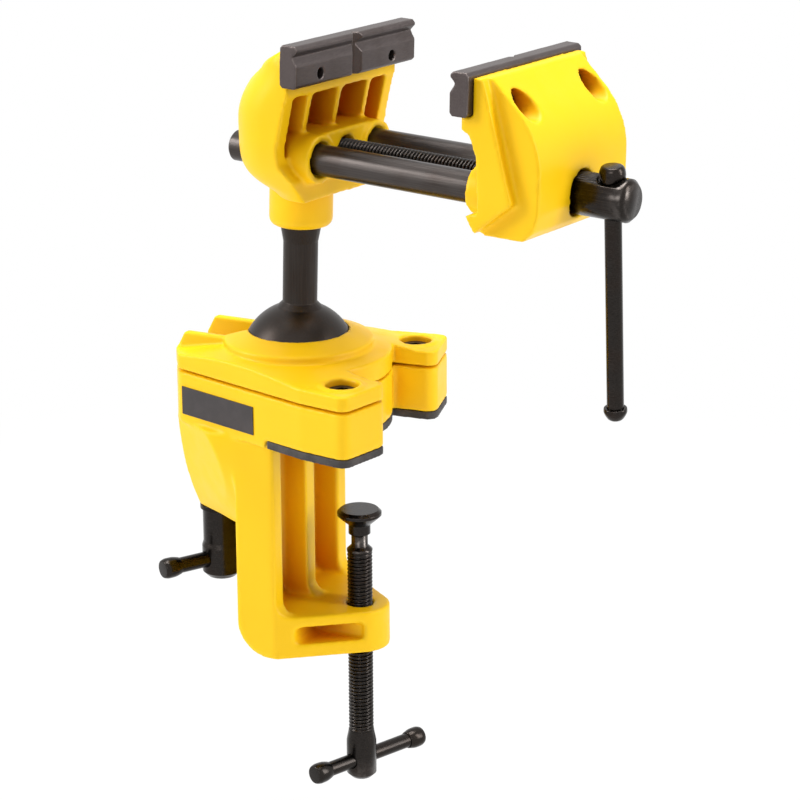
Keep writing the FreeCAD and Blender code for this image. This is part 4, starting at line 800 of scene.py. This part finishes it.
def trimmed_copy(node: bpy.types.Object, axis: Axis, first: float, last: float) -> bpy.types.Mesh:
    """A copy of a node without what lies between two places along a line.

    Args:
        node: the node, which stays as it is.
        axis: the line.
        first: start of the part to leave out.
        last: its end.

    Returns:
        The copy's mesh.
    """
    form = welded(node.data, NODE_WELD)
    for place in (first, last):
        bmesh.ops.bisect_plane(form, geom=form.verts[:] + form.edges[:] + form.faces[:],
                               plane_co=axis.origin + axis.direction * place,
                               plane_no=axis.direction, dist=CUT_SNAP)
    inside = [face for face in form.faces
              if first < (face.calc_center_median() - axis.origin).dot(axis.direction) < last]
    bmesh.ops.delete(form, geom=inside, context="FACES")
    mesh = closed(node.name + "_trimmed", form)
    shade_smooth(mesh, NODE_SHARP)
    return mesh


# ---------------------------------------------------------------- pieces

class Vise:
    """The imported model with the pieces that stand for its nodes.

    Attributes:
        nodes: the nodes' objects.
        joints: the joints, at rest.
        lowest: lower limit of each slide, in metres from rest.
        bodies: the body of each node.
        slots: the material slot of each node.
        paintbox: the materials.
    """

    def __init__(self, frame: dict) -> None:
        """Keep the frame and make the materials.
        """
        self.nodes = frame["nodes"]
        self.joints = {joint["name"]: joint for joint in frame["joints"]}
        behaviour = frame["record"]["behaviour"]
        self.lowest = {joint["name"]: joint["range_m"][0]
                       for joint in behaviour["joints"] if "range_m" in joint}
        self.bodies = {node: body for body, members in behaviour["bodies"].items()
                       for node in members}
        self.slots = {part["node"]: Slot(part["material_slot"])
                      for part in frame["record"]["subparts"]}
        self.paintbox = Paintbox(self.direction("jaw_slide"))

    def direction(self, joint: str) -> Vector:
        """The unit direction of a named joint."""
        return Vector(self.joints[joint]["axis"]).normalized()

    def axis(self, joint: str) -> Axis:
        """The line of a named hinge."""
        return Axis(Vector(self.joints[joint]["pos_m"]), self.direction(joint))

    def dress_nodes(self) -> None:
        """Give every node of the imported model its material."""
        for name, node in self.nodes.items():
            self.paintbox.dress(node, name, self.slots[name])

    def stand_in(self, piece: bpy.types.Object, *nodes: str) -> None:
        """Let a piece take the place of nodes of one body.

        Args:
            piece: the piece.
            *nodes: the nodes.
        """
        slot = self.slots[nodes[0]]
        self.paintbox.dress(piece, nodes[0], slot)
        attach(piece, self.bodies[nodes[0]])
        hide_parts(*nodes)
        log.info("%s: %d faces", piece.name, len(piece.data.polygons))


@dataclass(frozen=True)
class SoftCast:
    """A casting or moulding whose edges are as soft as a mould leaves them.

    Attributes:
        node: the node that it stands for.
        voxel_mm: size of the cells that it is rebuilt from.
        passes: smoothing passes.
        pull: how far a pass moves a point to the middle of its neighbours, 0 to 1.
    """

    node: str
    voxel_mm: float
    passes: int
    pull: float = 0.5

    def build(self, vise: Vise) -> bpy.types.Object:
        """Make the piece from a merged copy of the node.

        Args:
            vise: the model.

        Returns:
            The piece.
        """
        form = welded(vise.nodes[self.node].data, NODE_WELD)
        rough = linked(self.node + "_rough", closed(self.node + "_cast", form))
        cells = rough.modifiers.new("cells", "REMESH")
        cells.mode = "VOXEL"
        cells.voxel_size = self.voxel_mm * MM
        cells.use_smooth_shade = True
        smooth = rough.modifiers.new("smooth", "SMOOTH")
        smooth.factor = self.pull
        smooth.iterations = self.passes
        graph = bpy.context.evaluated_depsgraph_get()
        final = bpy.data.meshes.new_from_object(rough.evaluated_get(graph))
        bpy.data.objects.remove(rough)
        shade_smooth(final)
        piece = linked(self.node + "_soft", final)
        vise.stand_in(piece, self.node)
        return piece


@dataclass(frozen=True)
class Knob:
    """Turned knobs on the ends of a bar.

    Attributes:
        node: the node that they stand for.
        bar: the node of the bar.
        slide: the joint that slides the bar along itself.
        ends: which ends of the bar, +1 or -1.
        outline: (radius, height past the bar's end, rounding) in millimetres, from the
            bar's end face round to the knob's own end.
        columns: points round the knob.
    """

    node: str
    bar: str
    slide: str
    ends: tuple[int, ...]
    outline: tuple[tuple[float, float, float], ...]
    columns: int = 56

    def build(self, vise: Vise) -> bpy.types.Object:
        """Turn the outline about the bar.

        Args:
            vise: the model.

        Returns:
            The piece.
        """
        low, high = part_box(self.bar)
        line = Axis((low + high) / 2, vise.direction(self.slide))
        lowest, highest = line.spread_of(vise.nodes[self.bar])
        profile = rounded_outline(self.outline)
        meshes = []
        for end in self.ends:
            place = highest if end > 0 else lowest
            heights = place + end * profile[:, 1]
            meshes.append(grid_mesh(self.node, line.turned(profile[:, 0], heights, self.columns)))
        piece = linked(self.node + "_turned", joined(self.node + "_turned", meshes))
        vise.stand_in(piece, self.node)
        return piece


@dataclass(frozen=True)
class ThreadedScrew:
    """A screw whose plain cylinder gets a helical thread.

    Attributes:
        node: the node that it stands for.
        hinge: the joint that turns it.
        first_mm: start of the thread along the hinge's line, from the joint's point.
        last_mm: its end.
        radius_mm: radius over the crests.
        depth_mm: depth of the thread.
        pitch_mm: length of one turn.
        columns: points round the screw.
        rows_a_turn: rows along one turn.
        narrowing: power that narrows the roots.
    """

    node: str
    hinge: str
    first_mm: float
    last_mm: float
    radius_mm: float
    depth_mm: float
    pitch_mm: float
    columns: int = 56
    rows_a_turn: int = 14
    narrowing: float = 1.3

    def radii(self, heights: np.ndarray) -> np.ndarray:
        """Radius of the thread over height and angle.

        The depth follows a raised cosine of the phase, height over pitch less the share of the
        turn, to a power that narrows the roots. It fades to nothing within one turn of each end.

        Args:
            heights: places along the line, in millimetres.

        Returns:
            Array of heights by columns, in millimetres.
        """
        shares = np.arange(self.columns) / self.columns
        phase = heights[:, None] / self.pitch_mm - shares[None]
        root = (0.5 - 0.5 * np.cos(2 * np.pi * phase)) ** self.narrowing
        from_end = np.minimum(heights - self.first_mm, self.last_mm - heights)
        fade = np.clip(from_end / self.pitch_mm, 0, 1)
        return self.radius_mm - self.depth_mm * root * fade[:, None]

    def build(self, vise: Vise) -> bpy.types.Object:
        """Join the thread to what the node has before and after it.

        Args:
            vise: the model.

        Returns:
            The piece.
        """
        line = vise.axis(self.hinge)
        length = self.last_mm - self.first_mm
        rows = int(length / self.pitch_mm * self.rows_a_turn) + 1
        heights = np.linspace(self.first_mm, self.last_mm, rows)
        points = line.turned(self.radii(heights) * MM, heights * MM, self.columns)
        thread = grid_mesh(self.node + "_thread", points, ALL_SMOOTH)
        rest = trimmed_copy(vise.nodes[self.node], line, self.first_mm * MM, self.last_mm * MM)
        piece = linked(self.node + "_threaded", joined(self.node + "_threaded", [rest, thread]))
        vise.stand_in(piece, self.node)
        return piece


# The smaller the cells, the crisper the edges: finest on the milled plates.
CASTINGS = (
    SoftCast("base_casting", 0.85, 4),
    SoftCast("clamp_cap", 0.60, 5),
    SoftCast("fixed_jaw_body", 0.70, 4),
    SoftCast("moving_jaw_body", 0.70, 4),
    SoftCast("fixed_jaw_plate", 0.32, 3),
    SoftCast("moving_jaw_plate", 0.32, 3),
    SoftCast("bench_pad", 0.50, 3),
)

# The two cross bars have the same caps on different necks.
CAP = ((4.08, 1.6, 1.6), (4.08, 4.9, 1.2), (3.5, 6.38, 0.35), (0.0, 6.38, 0))
KNOBS = (
    Knob("clamp_tbar_knobs", "clamp_tbar", "clamp_bar_slide", (1, -1),
         ((0.0, 0.02, 0), (2.95, 0.02, 0), (2.95, -1.0, 0.1), (3.3, -1.0, 0.3)) + CAP),
    Knob("lock_tbar_knobs", "lock_tbar", "lock_bar_slide", (1, -1),
         ((0.0, 0.02, 0), (3.15, 0.02, 0), (3.15, -1.0, 0.1), (3.4, -1.0, 0.2)) + CAP),
    Knob("handle_knob_top", "handle_bar", "handle_slide", (1,),
         ((0.0, 0.02, 0), (3.15, 0.02, 0), (3.15, -1.36, 0.1), (4.2, -1.36, 0.4),
          (4.8, 1.9, 2.0), (4.4, 4.0, 1.2), (3.7, 5.1, 0.8), (0.0, 5.18, 0))),
    Knob("handle_knob_low", "handle_bar", "handle_slide", (-1,),
         ((0.0, 0.02, 0), (3.15, 0.02, 0), (3.15, -0.98, 0.1), (4.2, -0.98, 0.3),
          (4.36, 0.4, 0.6), (3.9, 1.6, 1.0), (2.6, 3.7, 1.6), (0.0, 4.16, 0))),
)

SCREWS = (
    ThreadedScrew("main_screw", "main_screw_turn", first_mm=-140.2, last_mm=-36.0,
                  radius_mm=4.88, depth_mm=0.90, pitch_mm=1.5),
    ThreadedScrew("clamp_screw", "clamp_screw_turn", first_mm=12.7, last_mm=88.0,
                  radius_mm=4.90, depth_mm=0.82, pitch_mm=1.5),
)


# ---------------------------------------------------------------- stage

@dataclass(frozen=True)
class SoftBox:
    """A rectangular studio lamp.

    Attributes:
        name: its name.
        place: where it hangs.
        target: what it looks at.
        width: its width.
        height: its height.
        power: its power in watts.
    """

    name: str
    place: tuple[float, float, float]
    target: tuple[float, float, float]
    width: float
    height: float
    power: float

    def build(self) -> bpy.types.Object:
        """Hang the lamp.

        Returns:
            The lamp's object.
        """
        data = bpy.data.lights.new(self.name, "AREA")
        data.shape = "RECTANGLE"
        data.size = self.width
        data.size_y = self.height
        data.energy = self.power
        lamp = linked(self.name, data)
        lamp.location = self.place
        aim = Vector(self.target) - Vector(self.place)
        lamp.rotation_euler = aim.to_track_quat("-Z", "Y").to_euler()
        return lamp


@dataclass(frozen=True)
class Stage:
    """Floor, world, lamps and camera.

    Attributes:
        camera_place: where the camera stands.
        camera_back: direction from the object to the camera.
        camera_roll: its turn about the view, in degrees.
        lens: its focal length in millimetres.
        film: width of its film in millimetres.
        floor_gap: how far the floor lies under the lowest point that the clamp screw reaches.
        floor_half: half the floor's width.
        floor_hue: its colour, sRGB hex.
        floor_white: share of plain white in what the eye sees of it, near and far.
        floor_fade: distances from the origin between which that share grows.
        ambient: strength of the world's light on the object.
        lamps: the lamps.
    """

    camera_place: tuple[float, float, float] = (0.4503, -0.8893, 0.3362)
    camera_back: tuple[float, float, float] = (0.416, -0.855, 0.310)
    camera_roll: float = -0.26
    lens: float = 124.33
    film: float = 36.0
    floor_gap: float = 0.0004
    floor_half: float = 3.0
    floor_hue: str = "#F4F4F2"
    floor_white: tuple[float, float] = (0.90, 1.0)
    floor_fade: tuple[float, float] = (0.25, 0.60)
    ambient: float = 0.18
    lamps: tuple[SoftBox, ...] = (
        SoftBox("left", (-1.30, -0.75, 0.75), (0, 0, 0.02), width=0.5, height=1.0, power=19.5),
        SoftBox("right", (1.35, 0.25, 0.55), (0, 0, 0.02), width=0.4, height=1.1, power=13.0),
        SoftBox("front", (0.25, -1.45, 0.60), (0, 0, 0.02), width=0.7, height=0.5, power=4.5),
        SoftBox("top", (0.0, 0.10, 1.35), (0, 0, 0.0), width=0.8, height=0.8, power=23.0),
    )

    def camera(self) -> None:
        """Put the camera at its viewing angle.

        Its axes are the level and the upright direction square to the view, both turned by the
        roll, and the direction back from the object.
        """
        back = Vector(self.camera_back).normalized()
        right = Vector((0, 0, 1)).cross(back).normalized()
        up = back.cross(right)
        roll = math.radians(self.camera_roll)
        level = right * math.cos(roll) + up * math.sin(roll)
        upright = up * math.cos(roll) - right * math.sin(roll)
        data = bpy.data.cameras.new("camera")
        data.lens = self.lens
        data.sensor_width = self.film
        data.sensor_fit = "HORIZONTAL"
        eye = linked("camera", data)
        pose = Matrix((level, upright, back)).transposed().to_4x4()
        pose.translation = Vector(self.camera_place)
        eye.matrix_world = pose
        bpy.context.scene.camera = eye

    def world(self) -> None:
        """White to the eye and in reflections, plain soft light on the object."""
        world = bpy.data.worlds.new("studio")
        world.use_nodes = True
        world.node_tree.nodes.clear()
        add = partial(add_node, world.node_tree)
        seen = any_ray(add, "Is Camera Ray", "Is Transmission Ray", "Is Glossy Ray")
        soft = add("ShaderNodeBackground", {"Color": linear(WHITE), "Strength": self.ambient})
        bright = add("ShaderNodeBackground", {"Color": linear(WHITE), "Strength": 1.0})
        mixed = add("ShaderNodeMixShader", {0: seen, 1: soft, 2: bright})
        add("ShaderNodeOutputWorld", {"Surface": mixed})
        bpy.context.scene.world = world

    def floor(self, lowest: float) -> None:
        """A pale floor that is white to the eye but for the object's faint shadow.

        Args:
            lowest: height of the lowest point that the object reaches.
        """
        half, height = self.floor_half, lowest - self.floor_gap
        mesh = bpy.data.meshes.new("floor")
        mesh.from_pydata([(-half, -half, height), (half, -half, height), (half, half, height),
                          (-half, half, height)], [], [(0, 1, 2, 3)])
        piece = linked("floor", mesh)
        shader = Shader("pale_floor")
        add = shader.add
        seen = any_ray(add, "Is Camera Ray", "Is Glossy Ray")
        far = add("ShaderNodeVectorMath", {0: shader.place}, output="Value", operation="LENGTH")
        white = add("ShaderNodeMapRange",
                    {"Value": far, "From Min": self.floor_fade[0], "From Max": self.floor_fade[1],
                     "To Min": self.floor_white[0], "To Max": self.floor_white[1]})
        share = add("ShaderNodeMath", {0: seen, 1: white}, operation="MULTIPLY")
        plain = add("ShaderNodeBsdfDiffuse", {"Color": linear(self.floor_hue)})
        glow = add("ShaderNodeEmission", {"Color": linear(WHITE), "Strength": 1.0})
        mixed = add("ShaderNodeMixShader", {0: share, 1: plain, 2: glow})
        add("ShaderNodeOutputMaterial", {"Surface": mixed})
        mesh.materials.append(shader.material)
        piece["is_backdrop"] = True

    def build(self, lowest: float) -> None:
        """Set the whole stage.

        Args:
            lowest: height of the lowest point that the object reaches.
        """
        bpy.context.scene.view_settings.view_transform = "Standard"
        self.camera()
        self.world()
        self.floor(lowest)
        for lamp in self.lamps:
            lamp.build()


def plain_box() -> list[list[float]]:
    """Lowest and highest corner of the object's present box, as plain lists."""
    return [[float(value) for value in corner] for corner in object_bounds()]


def main() -> None:
    """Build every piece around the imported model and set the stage."""
    logging.basicConfig(level=logging.INFO, format="%(message)s")
    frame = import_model()
    packed = plain_box()
    vise = Vise(frame)
    vise.dress_nodes()
    for part in CASTINGS + KNOBS + SCREWS:
        part.build(vise)
    Stage().build(packed[0][2] + vise.lowest["clamp_slide"])


if __name__ == "__main__":
    main()
